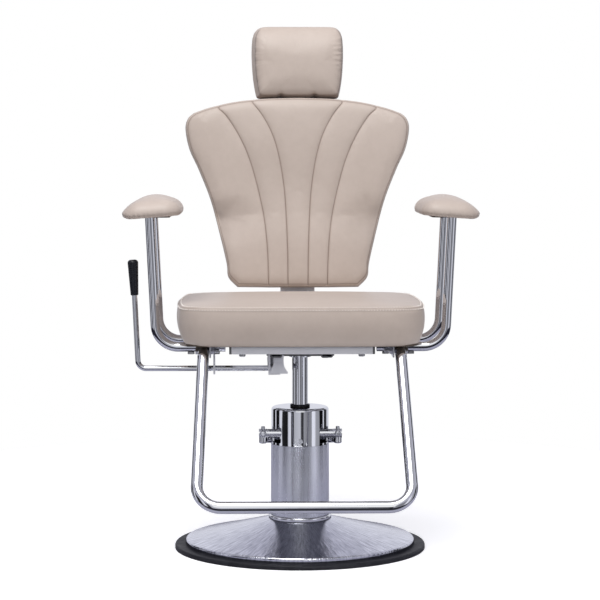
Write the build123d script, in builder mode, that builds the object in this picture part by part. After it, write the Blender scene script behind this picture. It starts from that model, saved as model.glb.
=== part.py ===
from build123d import *
import math
import os

os.makedirs("parts", exist_ok=True)

# Hydraulic barber chair in millimetres, +Z up.  The origin is on the floor, on the axis of
# the lifting column, and the sitter faces -Y.  The sitter's right side is -X.

# --- floor ring, cover and ballast -----------------------------------------
ring_outer_radius = 280.0
ring_inner_radius = 252.3
ring_lip_radius = 240.0
ring_lip_height = 3.0
ring_height = 10.0
ring_edge_radius = 4.0
cover_radius = 256.0
cover_wall = 2.0
cover_rim_height = 17.0
cover_shoulder = (250.0, 21.6)
cover_slope_middle = (160.0, 43.0)
cover_top_radius = 71.0
cover_top_height = 66.0
cover_hole_radius = 65.4
plate_radius = 252.0
plate_top = 13.0
collar_radius = 70.0
collar_top = 74.0
collar_edge_radius = 4.0

# --- column and pump --------------------------------------------------------
foot_radius = 90.0
foot_top = 21.0
foot_bolt_circle = 77.0
foot_bolt_radius = 6.0
foot_bolt_bottom = 5.0
foot_bolt_head_radius = 10.5
foot_bolt_head_height = 8.0
sleeve_radius = 65.0
sleeve_wall = 2.5
sleeve_top = 233.0
cap_radius = 64.0
cap_bore_radius = 60.5
cap_spigot_length = 15.0
cap_ceiling = 306.0
cap_top = 316.0
cap_edge_radius = 7.0
cap_boss_radius = 14.0
cap_boss_span = (34.0, 56.0)
window_centre = (-32.0, 256.0)
window_size = (30.0, 36.0)
window_corner_radius = 4.0
cap_web = 8.0
cap_screw_z = 245.0
cap_screw_inset = 0.4
cap_screw_head = (5.5, 2.5)
cap_screw_chamfer = 0.8
cap_screw_socket = (2.9, 1.5)
cylinder_bore_radius = 22.0
cylinder_outer_radius = 25.0
cylinder_top = 296.0
gland_spigot_length = 16.0
gland_boss_radius = 21.9
gland_top = 318.0
wiper_top = 321.0
wiper_edge_radius = 1.5
running_fit = 0.06

# --- pump pedal, rocking on a shaft across the cap ---------------------------
shaft_y = -38.0
shaft_z = 260.0
shaft_radius = 10.0
shaft_half_length = 73.0
spigot_radius = 6.0
spigot_end = 92.0
knuckle_x = 83.0
knuckle_radius = 10.5
knuckle_inner_x = 73.4
lug_radius = 9.0
lug_bottom = 238.0
lug_edge_radius = 3.0
set_screw_radius = 4.3
set_screw_height = 5.5
dome_screw_radius = 7.5
dome_screw_height = 5.0
dome_edge_radius = 4.0
yoke_tube_radius = 8.0
yoke_height = 250.0
yoke_slope = 9.5
yoke_reach = 133.0
yoke_bend_radius = 42.0
pedal_y = 238.0
pedal_z = 150.0
pedal_tilt = 7.5
pedal_width = 96.0
pedal_depth = 48.0
pedal_thickness = 5.0
pedal_cover = 4.0
pedal_corner_radius = 8.0
pad_rise = 6.0
tread_pitch = 9.0
tread_length = 82.0
tread_width = 3.0
tread_depth = 1.0
stem_bend_radius = 32.0
stem_knee_y = -50.0
stem_end_y = 18.0
stem_foot_size = (24.0, 36.0)
stem_foot_radius = 5.0
yoke_start = 4.0
plunger_y = -53.5
plunger_radius = 3.0
plunger_head_radius = 5.6
plunger_slot = 7.2
plunger_bottom = 110.0
prong_radius = 4.0
rocker_wall = 2.2
rocker_half_width = 9.0
plunger_slot_length = 12.0
plunger_head_play = 0.8
plunger_head_height = 6.0
plunger_head_gap = 0.4
barrel_radius = 7.5
barrel_top = 200.0

# --- ram and piston ----------------------------------------------------------
ram_radius = 17.5
ram_top = 428.0
piston_radius = 21.92
piston_bottom = 100.0
piston_top = 125.0
washer_top = 127.0
seal_inner_radius = 18.92
seal_outer_radius = 21.95
seal_bottom = 109.0
seal_top = 115.0
washer_bore_radius = 8.2
ram_tail_radius = 8.0
ram_tail_bottom = 104.0
flange_radius = 25.0
flange_top = 434.0

# --- seat frame --------------------------------------------------------------
swivel_plate_size = (150.0, 110.0)
swivel_plate_top = 440.0
swivel_bolt_spacing = (110.0, 84.0)
swivel_plate_corner = 12.0
swivel_bolt_radius = 4.0
swivel_bolt_reach = 9.0
bearer_inner_x = 42.0
bearer_outer_x = 68.0
bearer_wall = 3.0
bearer_corner_radius = 4.0
bearer_front = -150.0
bearer_rear = 222.0
bearer_top = 466.0
seat_underside = 470.0
frame_half_width = 151.0
frame_front = -205.0
frame_rear = 190.0
beam_depth = 25.0
beam_bottom = 453.0
beam_gap = 1.0
side_bar_thickness = 5.0
frame_bolt_x = 128.0
frame_bolt_head_radius = 7.0
frame_bolt_head_height = 6.0
frame_bolt_edge_radius = 2.5

# --- seat cushion ------------------------------------------------------------
seat_half_width = 270.0
seat_front = -240.0
seat_rear = 230.0
seat_corner_radius = 70.0
seat_top = 552.0
seat_edge_radius = 18.0
board_thickness = 12.0
board_inset = 20.0
pocket_gap = 0.5

# --- armrests ----------------------------------------------------------------
arm_tube_radius = 10.5
arm_tube_wall = 2.0
arm_tube_z = 459.3
arm_tube_inner_x = 165.0
arm_tube_top_x = 329.0
arm_tube_lean = 2.7
arm_tube_bend = 50.0
arm_tube_trim = 20.0
arm_tube_front_y = -100.0
arm_tube_rear_y = 75.0
arm_bolt_x = (185.0, 240.0)
pad_bottom = 742.0
pad_top = 789.0
pad_centre_x = 325.0
pad_width = 133.0
pad_centre_y = -10.0
pad_length = 280.0
pad_corner_radius = 36.0
pad_edge_radius = 20.0
arm_plate_size = (80.0, 226.0)
arm_plate_thickness = 8.0
arm_plate_corner = 14.0

# --- footrest ----------------------------------------------------------------
footrest_tube_radius = 12.5
footrest_tube_wall = 2.0
footrest_top_x = 211.0
footrest_bottom_x = 222.0
footrest_root_z = 457.3
footrest_root_y = -116.0
footrest_knee_y = -205.0
footrest_bar_y = -450.0
footrest_bar_z = 164.5
footrest_bend = 50.0
footrest_bolt_y = (-138.0, -175.0)
lug_plate_x = (195.4, 198.4)
lug_plate_y = (-190.0, -122.0)
lug_plate_bottom = 444.0
lug_flange_inner_x = 172.0
lug_flange_thickness = 3.0
footrest_bolt_span = (178.0, 227.0)
footrest_nut_length = 7.0

# --- backrest, leaning back about its hinge ----------------------------------
hinge_y = 205.0
hinge_z = 453.0
hinge_pin_radius = 6.0
hinge_hub_radius = 13.0
hinge_head_radius = 9.0
hinge_head_height = 4.0
back_lean = 9.0
back_foot = (0.0, 190.0, 572.0)
cushion_depth = 62.0
back_edge_radius = 12.0
back_board_inset = 14.0
strip_half_width = 40.0
strip_thickness = 6.0
strip_reach = 200.0
strip_bend = 30.0
back_screw_spacing = (44.0, 100.0)
back_screw_head_radius = 6.5
back_screw_edge_radius = 2.0
back_screw_bite = 6.0
crank_radius = 52.0
recline_range = 50.0
crank_pin_radius = 5.0
crank_eye_radius = 9.0
crank_thickness = 6.0
crank_pin_end_x = -70.0
back_plane = Plane(
    origin=back_foot,
    x_dir=(1, 0, 0),
    z_dir=(0, -math.cos(math.radians(back_lean)), math.sin(math.radians(back_lean))),
)

# --- headrest ----------------------------------------------------------------
head_width = 217.0
head_bottom = 445.5
head_top = 617.5
head_corner_radius = 22.0
head_edge_radius = 10.0
post_x = 39.0
post_radius = 6.0
post_depth = 52.0
post_bottom = 315.0
post_top = 556.0
post_pocket = (435.5, 557.0)
guide_size = 20.0
guide_bottom = 310.0
guide_top = 438.0
guide_pocket = (308.0, 466.5)
head_plate_size = (120.0, 80.0)
head_plate_thickness = 3.0
head_plate_centre = 530.0
head_board_inset = 12.0
head_board_radius = 14.0
head_board_thickness = 10.0
head_rebate = 0.6

# --- recline lock and lever --------------------------------------------------
lock_x = -58.0
lock_z = 403.5
gas_rod_radius = 5.0
gas_rod_front = -66.0
gas_rod_rear = 70.0
lock_piston_radius = 11.9
lock_piston_length = 8.0
lock_body_radius = 14.0
lock_bore_radius = 12.0
lock_front = 40.0
lock_rear = 190.0
lock_end_wall = 6.0
lock_nose = 10.0
fork_rear = 240.0
fork_half_width = 8.0
fork_half_height = 10.0
fork_corner_radius = 5.0
slot_half_width = 5.4
slot_half_height = 7.7
bracket_half_width = 13.0
bracket_wall = 4.0
bracket_bottom = 399.0
bracket_rear = -58.0
bracket_rear_wall = 8.0
lock_bracket_front = -90.0
cheek_shoulder_z = 424.0
cheek_heel_z = 394.0
bell_x = -49.0
bell_foot_half_width = 20.0
bell_foot_height = 4.0
bell_flare_half_width = 13.5
bell_flare_z = 413.0
bell_neck_half_width = 11.0
bell_neck_z = 424.0
bell_thickness = 3.0
lever_y = -78.0
lever_z = 410.0
lever_rod_radius = 6.0
lever_inner_x = -50.0
lever_corner_x = -356.5
lever_bend = 18.0
lever_lean = 2.6
lever_top = 641.0
grip_bottom = 571.0
grip_top = 649.0
grip_bottom_radius = 8.5
grip_top_radius = 12.0
grip_crown_radius = 7.0
grip_foot_radius = 2.0
cam_radius = 8.5
cam_nose_radius = 6.0
cam_nose_offset = (4.0, -3.0)
cam_width = 12.0
hanger_x = -190.0
hanger_thickness = 4.0
hanger_width = 20.0
hanger_tab = (24.0, 16.0)
hanger_tab_thickness = 3.0
hanger_bottom = 397.0

# --- fasteners ---------------------------------------------------------------
shank_radius = 3.5
hole_radius = 3.6
bolt_head_height = 5.0
hexagon_radius = 7.5

# --- fits ----------------------------------------------------------------------
press_fit = 0.02
clearance = 0.1
head_gap = 0.2
board_bite = 8.0


def write(block, name):
    """Label one finished sub-part and write its file."""
    block.part.label = name
    export_step(block.part, f"parts/{name}.step")


def ring_between(inner, outer, bottom, top):
    """A plain tube about the column axis."""
    with BuildPart() as tube:
        with BuildSketch(Plane.XY.offset(bottom)):
            Circle(outer)
            Circle(inner, mode=Mode.SUBTRACT)
        extrude(amount=top - bottom)
    return tube


# ============================ base ===========================================
with BuildPart() as base_rubber_ring:
    with BuildSketch(Plane.XZ):
        with BuildLine():
            Polyline(
                (ring_lip_radius, 0),
                (ring_outer_radius, 0),
                (ring_outer_radius, ring_height),
                (ring_inner_radius, ring_height),
                (ring_inner_radius, ring_lip_height),
                (ring_lip_radius, ring_lip_height),
                close=True,
            )
        make_face()
    revolve(axis=Axis.Z)
    ring_top_edges = base_rubber_ring.edges().group_by(Axis.Z)[-1]
    fillet(ring_top_edges.sort_by(SortBy.RADIUS)[-1], radius=ring_edge_radius)
write(base_rubber_ring, "base_rubber_ring")

with BuildPart() as base_cover:
    with BuildSketch(Plane.XZ):
        with BuildLine():
            rim_arc_middle = (cover_radius - 1.7, cover_rim_height + 3.4)
            Line((cover_radius, ring_height), (cover_radius, cover_rim_height))
            ThreePointArc((cover_radius, cover_rim_height), rim_arc_middle, cover_shoulder)
            ThreePointArc(cover_shoulder, cover_slope_middle, (cover_top_radius, cover_top_height))
            Line((cover_top_radius, cover_top_height), (cover_hole_radius, cover_top_height))
            Line(
                (cover_hole_radius, cover_top_height),
                (cover_hole_radius, cover_top_height - cover_wall),
            )
            inner_top = (cover_top_radius, cover_top_height - cover_wall)
            inner_middle = (cover_slope_middle[0], cover_slope_middle[1] - cover_wall)
            inner_shoulder = (cover_shoulder[0] - 1, cover_shoulder[1] - cover_wall)
            Line((cover_hole_radius, cover_top_height - cover_wall), inner_top)
            ThreePointArc(inner_top, inner_middle, inner_shoulder)
            Line(inner_shoulder, (cover_radius - cover_wall, cover_rim_height))
            Line((cover_radius - cover_wall, cover_rim_height), (cover_radius - cover_wall, ring_height))
            Line((cover_radius - cover_wall, ring_height), (cover_radius, ring_height))
        make_face()
    revolve(axis=Axis.Z)
write(base_cover, "base_cover")

with BuildPart() as ballast_plate:
    with BuildSketch(Plane.XY.offset(ring_lip_height)):
        Circle(plate_radius)
        with PolarLocations(foot_bolt_circle, 4, start_angle=45):
            Circle(foot_bolt_radius + clearance, mode=Mode.SUBTRACT)
    extrude(amount=plate_top - ring_lip_height)
write(ballast_plate, "ballast_plate")

with BuildPart() as pump_cylinder:
    with BuildSketch(Plane.XY.offset(plate_top)):
        Circle(foot_radius)
        with PolarLocations(foot_bolt_circle, 4, start_angle=45):
            Circle(foot_bolt_radius + clearance, mode=Mode.SUBTRACT)
    extrude(amount=foot_top - plate_top)
    with BuildSketch(Plane.XY.offset(foot_top)):
        Circle(cylinder_outer_radius)
        Circle(cylinder_bore_radius, mode=Mode.SUBTRACT)
    extrude(amount=cylinder_top - foot_top)
write(pump_cylinder, "pump_cylinder")

with BuildPart() as foot_bolts:
    with BuildSketch(Plane.XY.offset(foot_top)):
        with PolarLocations(foot_bolt_circle, 4, start_angle=45):
            RegularPolygon(radius=foot_bolt_head_radius, side_count=6)
    extrude(amount=foot_bolt_head_height)
    with BuildSketch(Plane.XY.offset(foot_bolt_bottom)):
        with PolarLocations(foot_bolt_circle, 4, start_angle=45):
            Circle(foot_bolt_radius)
    extrude(amount=foot_top - foot_bolt_bottom)
write(foot_bolts, "foot_bolts")

with BuildPart() as column_collar:
    with BuildSketch(Plane.XY.offset(cover_top_height)):
        Circle(collar_radius)
        Circle(cover_hole_radius, mode=Mode.SUBTRACT)
    extrude(amount=collar_top - cover_top_height)
    collar_edges = column_collar.edges().group_by(Axis.Z)[-1]
    fillet(collar_edges.sort_by(SortBy.RADIUS)[-1], radius=collar_edge_radius)
write(column_collar, "column_collar")

write(ring_between(sleeve_radius - sleeve_wall, sleeve_radius, foot_top, sleeve_top), "pump_sleeve")

with BuildPart() as ram_gland:
    with BuildSketch(Plane.XY.offset(cylinder_top - gland_spigot_length)):
        Circle(cylinder_bore_radius - press_fit)
    extrude(amount=gland_spigot_length)
    with BuildSketch(Plane.XY.offset(cylinder_top)):
        Circle(cylinder_outer_radius)
    extrude(amount=cap_ceiling - cylinder_top)
    with BuildSketch(Plane.XY.offset(cap_ceiling)):
        Circle(gland_boss_radius)
    extrude(amount=gland_top - cap_ceiling)
    with BuildSketch(Plane.XY):
        Circle(ram_radius + running_fit)
    extrude(amount=gland_top, mode=Mode.SUBTRACT)
write(ram_gland, "ram_gland")

with BuildPart() as wiper_seal:
    with BuildSketch(Plane.XY.offset(gland_top)):
        Circle(gland_boss_radius)
        Circle(ram_radius + running_fit, mode=Mode.SUBTRACT)
    extrude(amount=wiper_top - gland_top)
    wiper_edges = wiper_seal.edges().group_by(Axis.Z)[-1]
    fillet(wiper_edges.sort_by(SortBy.RADIUS)[-1], radius=wiper_edge_radius)
write(wiper_seal, "wiper_seal")

with BuildPart() as pump_cap:
    with BuildSketch(Plane.XY.offset(sleeve_top)):
        Circle(cap_radius)
    extrude(amount=cap_top - sleeve_top)
    fillet(pump_cap.edges().group_by(Axis.Z)[-1], radius=cap_edge_radius)
    with BuildSketch(Plane.XY.offset(sleeve_top - cap_spigot_length)):
        Circle(sleeve_radius - sleeve_wall - clearance)
    extrude(amount=cap_spigot_length)
    with BuildSketch(Plane.XY.offset(sleeve_top - cap_spigot_length)):
        Circle(cap_bore_radius)
    extrude(amount=cap_ceiling - sleeve_top + cap_spigot_length, mode=Mode.SUBTRACT)
    with BuildSketch(Plane.XY.offset(cap_ceiling)):
        Circle(gland_boss_radius + clearance)
    extrude(amount=cap_top - cap_ceiling, mode=Mode.SUBTRACT)
    with BuildSketch(Plane.YZ):
        with Locations(window_centre):
            RectangleRounded(*window_size, window_corner_radius)
    extrude(amount=cap_radius, both=True, mode=Mode.SUBTRACT)
    for side in (-1, 1):
        with BuildSketch(Plane.YZ.offset(side * cap_boss_span[0])):
            with Locations((shaft_y, shaft_z)):
                Circle(cap_boss_radius)
            with Locations((shaft_y, (shaft_z + cap_ceiling) / 2)):
                Rectangle(cap_web, cap_ceiling - shaft_z)
        extrude(amount=side * (cap_boss_span[1] - cap_boss_span[0]))
    with BuildSketch(Plane.YZ):
        with Locations((shaft_y, shaft_z)):
            Circle(shaft_radius + running_fit)
    extrude(amount=cap_radius, both=True, mode=Mode.SUBTRACT)
    with BuildSketch(Plane.XZ):
        with Locations((0, cap_screw_z)):
            Circle(hole_radius)
    extrude(amount=cap_radius, mode=Mode.SUBTRACT)
    with BuildSketch(Plane.XY.offset(sleeve_top - cap_spigot_length)):
        Circle(cap_radius + cap_boss_radius)
        Circle(cap_radius, mode=Mode.SUBTRACT)
    extrude(amount=cap_top - sleeve_top + cap_spigot_length, mode=Mode.SUBTRACT)
write(pump_cap, "pump_cap")

with BuildPart() as cap_screw:
    with BuildSketch(Plane.XZ.offset(cap_bore_radius - cap_screw_inset)):
        with Locations((0, cap_screw_z)):
            Circle(shank_radius)
    extrude(amount=cap_radius - cap_bore_radius + cap_screw_inset)
    with BuildSketch(Plane.XZ.offset(cap_radius)):
        with Locations((0, cap_screw_z)):
            Circle(cap_screw_head[0])
    extrude(amount=cap_screw_head[1])
    chamfer(cap_screw.edges().group_by(Axis.Y)[0], length=cap_screw_chamfer)
    with BuildSketch(Plane.XZ.offset(cap_radius + cap_screw_head[1])):
        with Locations((0, cap_screw_z)):
            RegularPolygon(radius=cap_screw_socket[0], side_count=6)
    extrude(amount=-cap_screw_socket[1], mode=Mode.SUBTRACT)
write(cap_screw, "cap_screw")

with BuildPart() as plunger_barrel:
    with BuildSketch(Plane.XY.offset(foot_top)):
        with Locations((0, plunger_y)):
            Circle(barrel_radius)
            Circle(plunger_radius + running_fit, mode=Mode.SUBTRACT)
    extrude(amount=barrel_top - foot_top)
write(plunger_barrel, "plunger_barrel")

# ============================ pedal ==========================================
with BuildPart() as cross_shaft:
    with BuildSketch(Plane.YZ):
        with Locations((shaft_y, shaft_z)):
            Circle(shaft_radius)
    extrude(amount=shaft_half_length, both=True)
    with BuildSketch(Plane.YZ):
        with Locations((shaft_y, shaft_z)):
            Circle(spigot_radius)
    extrude(amount=spigot_end, both=True)
write(cross_shaft, "cross_shaft")

with BuildPart() as pump_rocker:
    with BuildSketch(Plane.YZ):
        with Locations((shaft_y, shaft_z)):
            Circle(shaft_radius + rocker_wall)
    extrude(amount=rocker_half_width, both=True)
    with BuildSketch(Plane.YZ):
        with Locations((plunger_y, shaft_z)):
            Circle(prong_radius)
        with Locations(((plunger_y + shaft_y) / 2, shaft_z)):
            Rectangle(abs(plunger_y - shaft_y), 2 * prong_radius)
    extrude(amount=rocker_half_width, both=True)
    with BuildSketch(Plane.XY.offset(shaft_z)):
        with Locations((0, plunger_y)):
            Rectangle(plunger_slot, plunger_slot_length)
    extrude(amount=2 * prong_radius, both=True, mode=Mode.SUBTRACT)
    with BuildSketch(Plane.XY.offset(shaft_z + prong_radius)):
        with Locations((0, plunger_y)):
            Circle(plunger_head_radius + plunger_head_play)
    extrude(amount=2 * prong_radius, mode=Mode.SUBTRACT)
    with BuildSketch(Plane.YZ):
        with Locations((shaft_y, shaft_z)):
            Circle(shaft_radius + press_fit)
    extrude(amount=rocker_half_width, both=True, mode=Mode.SUBTRACT)
write(pump_rocker, "pump_rocker")

yoke_plane = Plane(
    origin=(0, shaft_y, yoke_height),
    x_dir=(1, 0, 0),
    z_dir=(0, math.sin(math.radians(yoke_slope)), math.cos(math.radians(yoke_slope))),
)
pedal_plane = Plane(
    origin=(0, pedal_y, pedal_z),
    x_dir=(1, 0, 0),
    z_dir=(0, -math.sin(math.radians(pedal_tilt)), math.cos(math.radians(pedal_tilt))),
)
yoke_back = yoke_plane.from_local_coords(Vector(0, yoke_reach, 0))
stem_drop = -pedal_thickness - yoke_tube_radius
stem_knee = pedal_plane.from_local_coords(Vector(0, stem_knee_y, stem_drop))
stem_end = pedal_plane.from_local_coords(Vector(0, stem_end_y, stem_drop))

with BuildPart() as pedal_yoke:
    with BuildLine(yoke_plane) as yoke_line:
        FilletPolyline(
            (-knuckle_x, yoke_start),
            (-knuckle_x, yoke_reach),
            (knuckle_x, yoke_reach),
            (knuckle_x, yoke_start),
            radius=yoke_bend_radius,
        )
    with BuildSketch(Plane(origin=yoke_line.line @ 0, z_dir=yoke_line.line % 0)):
        Circle(yoke_tube_radius)
    sweep(path=yoke_line.line)
    with BuildLine() as pedal_stem:
        FilletPolyline(yoke_back, stem_knee, stem_end, radius=stem_bend_radius)
    with BuildSketch(Plane(origin=yoke_back, z_dir=pedal_stem.line % 0)):
        Circle(yoke_tube_radius)
    sweep(path=pedal_stem.line)
    with BuildSketch(pedal_plane.offset(stem_drop)):
        RectangleRounded(*stem_foot_size, stem_foot_radius)
    extrude(amount=yoke_tube_radius)
    for side in (-1, 1):
        with BuildSketch(Plane.YZ.offset(side * knuckle_inner_x)):
            with Locations((shaft_y, shaft_z)):
                Circle(knuckle_radius)
        extrude(amount=side * (spigot_end - knuckle_inner_x))
        with BuildSketch(Plane.XY.offset(shaft_z)):
            with Locations((side * knuckle_x, shaft_y)):
                Circle(lug_radius)
        extrude(amount=lug_bottom - shaft_z)
    round_edges = pedal_yoke.edges().filter_by(GeomType.CIRCLE)
    lug_edges = round_edges.filter_by_position(Axis.Z, lug_bottom - clearance, lug_bottom + clearance)
    fillet(lug_edges, radius=lug_edge_radius)
    with BuildSketch(Plane.YZ):
        with Locations((shaft_y, shaft_z)):
            Circle(spigot_radius + press_fit)
    extrude(amount=spigot_end + clearance, both=True, mode=Mode.SUBTRACT)
write(pedal_yoke, "pedal_yoke")

with BuildPart() as yoke_set_screws:
    for side in (-1, 1):
        with BuildSketch(Plane.XY.offset(shaft_z)):
            with Locations((side * knuckle_x, shaft_y)):
                Circle(set_screw_radius)
        extrude(amount=knuckle_radius + set_screw_height)
    chamfer(yoke_set_screws.edges().group_by(Axis.Z)[-1], length=1)
    with BuildSketch(Plane.YZ):
        with Locations((shaft_y, shaft_z)):
            Circle(knuckle_radius)
    extrude(amount=spigot_end, both=True, mode=Mode.SUBTRACT)
write(yoke_set_screws, "yoke_set_screws")

with BuildPart() as yoke_dome_screws:
    for side in (-1, 1):
        with BuildSketch(Plane.XZ.offset(-shaft_y)):
            with Locations((side * knuckle_x, shaft_z)):
                Circle(dome_screw_radius)
        extrude(amount=knuckle_radius + dome_screw_height)
    fillet(yoke_dome_screws.edges().group_by(Axis.Y)[0], radius=dome_edge_radius)
    with BuildSketch(Plane.YZ):
        with Locations((shaft_y, shaft_z)):
            Circle(knuckle_radius)
    extrude(amount=spigot_end, both=True, mode=Mode.SUBTRACT)
    with BuildSketch(Plane.XY.offset(lug_bottom)):
        with Locations((-knuckle_x, shaft_y), (knuckle_x, shaft_y)):
            Circle(lug_radius)
    extrude(amount=shaft_z - lug_bottom, mode=Mode.SUBTRACT)
write(yoke_dome_screws, "yoke_dome_screws")

with BuildPart() as pedal_plate:
    with BuildSketch(pedal_plane.offset(-pedal_thickness)):
        RectangleRounded(pedal_width, pedal_depth, pedal_corner_radius)
    extrude(amount=pedal_thickness)
write(pedal_plate, "pedal_plate")

with BuildPart() as pedal_pad:
    with BuildSketch(pedal_plane.offset(-pedal_thickness)):
        RectangleRounded(
            pedal_width + 2 * pedal_cover,
            pedal_depth + 2 * pedal_cover,
            pedal_corner_radius + pedal_cover,
        )
    extrude(amount=pedal_thickness + pad_rise)
    fillet(pedal_pad.faces().sort_by(Axis.Z)[-1].edges(), radius=pad_rise / 2)
    with BuildSketch(pedal_plane.offset(-pedal_thickness)):
        RectangleRounded(pedal_width + 2 * clearance, pedal_depth + 2 * clearance, pedal_corner_radius)
    extrude(amount=pedal_thickness, mode=Mode.SUBTRACT)
    with BuildSketch(pedal_plane.offset(pad_rise - tread_depth)):
        with GridLocations(0, tread_pitch, 1, 5):
            RectangleRounded(tread_length, tread_width, tread_width / 2 - clearance)
    extrude(amount=tread_depth, mode=Mode.SUBTRACT)
write(pedal_pad, "pedal_pad")

# ============================ plunger ========================================
plunger_head_z = shaft_z + prong_radius + plunger_head_gap

with BuildPart() as pump_plunger:
    with BuildSketch(Plane.XY.offset(plunger_bottom)):
        with Locations((0, plunger_y)):
            Circle(plunger_radius)
    extrude(amount=plunger_head_z - plunger_bottom)
    with BuildSketch(Plane.XY.offset(plunger_head_z)):
        with Locations((0, plunger_y)):
            Circle(plunger_head_radius)
    extrude(amount=plunger_head_height)
write(pump_plunger, "pump_plunger")

# ============================ piston =========================================
with BuildPart() as piston_head:
    with BuildSketch(Plane.XY.offset(piston_bottom)):
        Circle(piston_radius)
        Circle(ram_tail_radius + running_fit, mode=Mode.SUBTRACT)
    extrude(amount=piston_top - piston_bottom)
    with BuildSketch(Plane.XY.offset(seal_bottom)):
        Circle(piston_radius)
        Circle(seal_inner_radius, mode=Mode.SUBTRACT)
    extrude(amount=seal_top - seal_bottom, mode=Mode.SUBTRACT)
write(piston_head, "piston_head")

write(ring_between(seal_inner_radius, seal_outer_radius, seal_bottom, seal_top), "piston_seal")

write(ring_between(washer_bore_radius, ram_radius, piston_top, washer_top), "thrust_washer")

# ============================ seat ===========================================
with BuildPart() as ram:
    with BuildSketch(Plane.XY.offset(washer_top)):
        Circle(ram_radius)
    extrude(amount=ram_top - washer_top)
    with BuildSketch(Plane.XY.offset(ram_tail_bottom)):
        Circle(ram_tail_radius)
    extrude(amount=washer_top - ram_tail_bottom)
    with BuildSketch(Plane.XY.offset(ram_top)):
        Circle(flange_radius)
    extrude(amount=flange_top - ram_top)
write(ram, "ram")

with BuildPart() as swivel_plate:
    with BuildSketch(Plane.XY.offset(flange_top)):
        RectangleRounded(*swivel_plate_size, swivel_plate_corner)
        with GridLocations(*swivel_bolt_spacing, 2, 2):
            Circle(swivel_bolt_radius + clearance, mode=Mode.SUBTRACT)
    extrude(amount=swivel_plate_top - flange_top)
write(swivel_plate, "swivel_plate")

with BuildPart() as swivel_bolts:
    with BuildSketch(Plane.XY.offset(flange_top - bolt_head_height)):
        with GridLocations(*swivel_bolt_spacing, 2, 2):
            RegularPolygon(radius=hexagon_radius, side_count=6)
    extrude(amount=bolt_head_height)
    with BuildSketch(Plane.XY.offset(flange_top)):
        with GridLocations(*swivel_bolt_spacing, 2, 2):
            Circle(swivel_bolt_radius)
    extrude(amount=swivel_plate_top - flange_top + swivel_bolt_reach)
write(swivel_bolts, "swivel_bolts")

bearer_middle_x = (bearer_inner_x + bearer_outer_x) / 2
bearer_width = bearer_outer_x - bearer_inner_x
bearer_height = bearer_top - swivel_plate_top
bearer_places = [(side * bearer_middle_x, (swivel_plate_top + bearer_top) / 2) for side in (-1, 1)]

with BuildPart() as frame_bearers:
    with BuildSketch(Plane.XZ.offset(-bearer_rear)):
        with Locations(*bearer_places):
            RectangleRounded(bearer_width, bearer_height, bearer_corner_radius)
            RectangleRounded(
                bearer_width - 2 * bearer_wall,
                bearer_height - 2 * bearer_wall,
                bearer_corner_radius / 2,
                mode=Mode.SUBTRACT,
            )
    extrude(amount=bearer_rear - bearer_front)
    with BuildSketch(Plane.XY.offset(swivel_plate_top)):
        with GridLocations(*swivel_bolt_spacing, 2, 2):
            Circle(swivel_bolt_radius + clearance)
    extrude(amount=2 * bearer_wall, mode=Mode.SUBTRACT)
    with BuildSketch(Plane.YZ):
        with Locations((hinge_y, hinge_z)):
            Circle(hinge_pin_radius + press_fit)
    extrude(amount=bearer_outer_x, both=True, mode=Mode.SUBTRACT)
write(frame_bearers, "frame_bearers")

frame_length = frame_rear - frame_front
frame_middle_y = (frame_rear + frame_front) / 2
front_beam_y = frame_front + beam_depth / 2
rear_beam_y = frame_rear - beam_depth / 2
rear_beam_inner_x = bearer_outer_x + beam_gap
rear_beam_length = frame_half_width - rear_beam_inner_x
frame_bolt_places = [(side * frame_bolt_x, y) for side in (-1, 1) for y in (front_beam_y, rear_beam_y)]

with BuildPart() as seat_frame:
    with BuildSketch(Plane.XY.offset(bearer_top)):
        with Locations((0, frame_middle_y)):
            Rectangle(2 * frame_half_width, frame_length)
    extrude(amount=seat_underside - bearer_top)
    with BuildSketch(Plane.XY.offset(beam_bottom)):
        with Locations((0, front_beam_y)):
            Rectangle(2 * frame_half_width, beam_depth)
        for side in (-1, 1):
            with Locations((side * (rear_beam_inner_x + rear_beam_length / 2), rear_beam_y)):
                Rectangle(rear_beam_length, beam_depth)
    extrude(amount=bearer_top - beam_bottom)
    with BuildSketch(Plane.XY.offset(beam_bottom)):
        with Locations(*frame_bolt_places):
            Circle(hole_radius)
    extrude(amount=seat_underside - beam_bottom, mode=Mode.SUBTRACT)
write(seat_frame, "seat_frame")

with BuildPart() as frame_side_bars:
    with BuildSketch(Plane.XY.offset(beam_bottom)):
        for side in (-1, 1):
            with Locations((side * (frame_half_width + side_bar_thickness / 2), frame_middle_y)):
                Rectangle(side_bar_thickness, frame_length)
    extrude(amount=seat_underside - beam_bottom)
write(frame_side_bars, "frame_side_bars")

with BuildPart() as frame_bolts:
    with BuildSketch(Plane.XY.offset(beam_bottom - frame_bolt_head_height)):
        with Locations(*frame_bolt_places):
            Circle(frame_bolt_head_radius)
    extrude(amount=frame_bolt_head_height)
    fillet(frame_bolts.edges().group_by(Axis.Z)[0], radius=frame_bolt_edge_radius)
    with BuildSketch(Plane.XY.offset(beam_bottom)):
        with Locations(*frame_bolt_places):
            Circle(shank_radius)
    extrude(amount=seat_underside - beam_bottom + board_bite)
write(frame_bolts, "frame_bolts")

arm_tube_places = [
    (side * x, y)
    for side in (-1, 1)
    for x in arm_bolt_x
    for y in (arm_tube_front_y, arm_tube_rear_y)
]
board_hole_places = frame_bolt_places + arm_tube_places
seat_width = 2 * seat_half_width
seat_depth = seat_rear - seat_front
seat_middle_y = (seat_rear + seat_front) / 2
board_corner_radius = seat_corner_radius - board_inset

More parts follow.
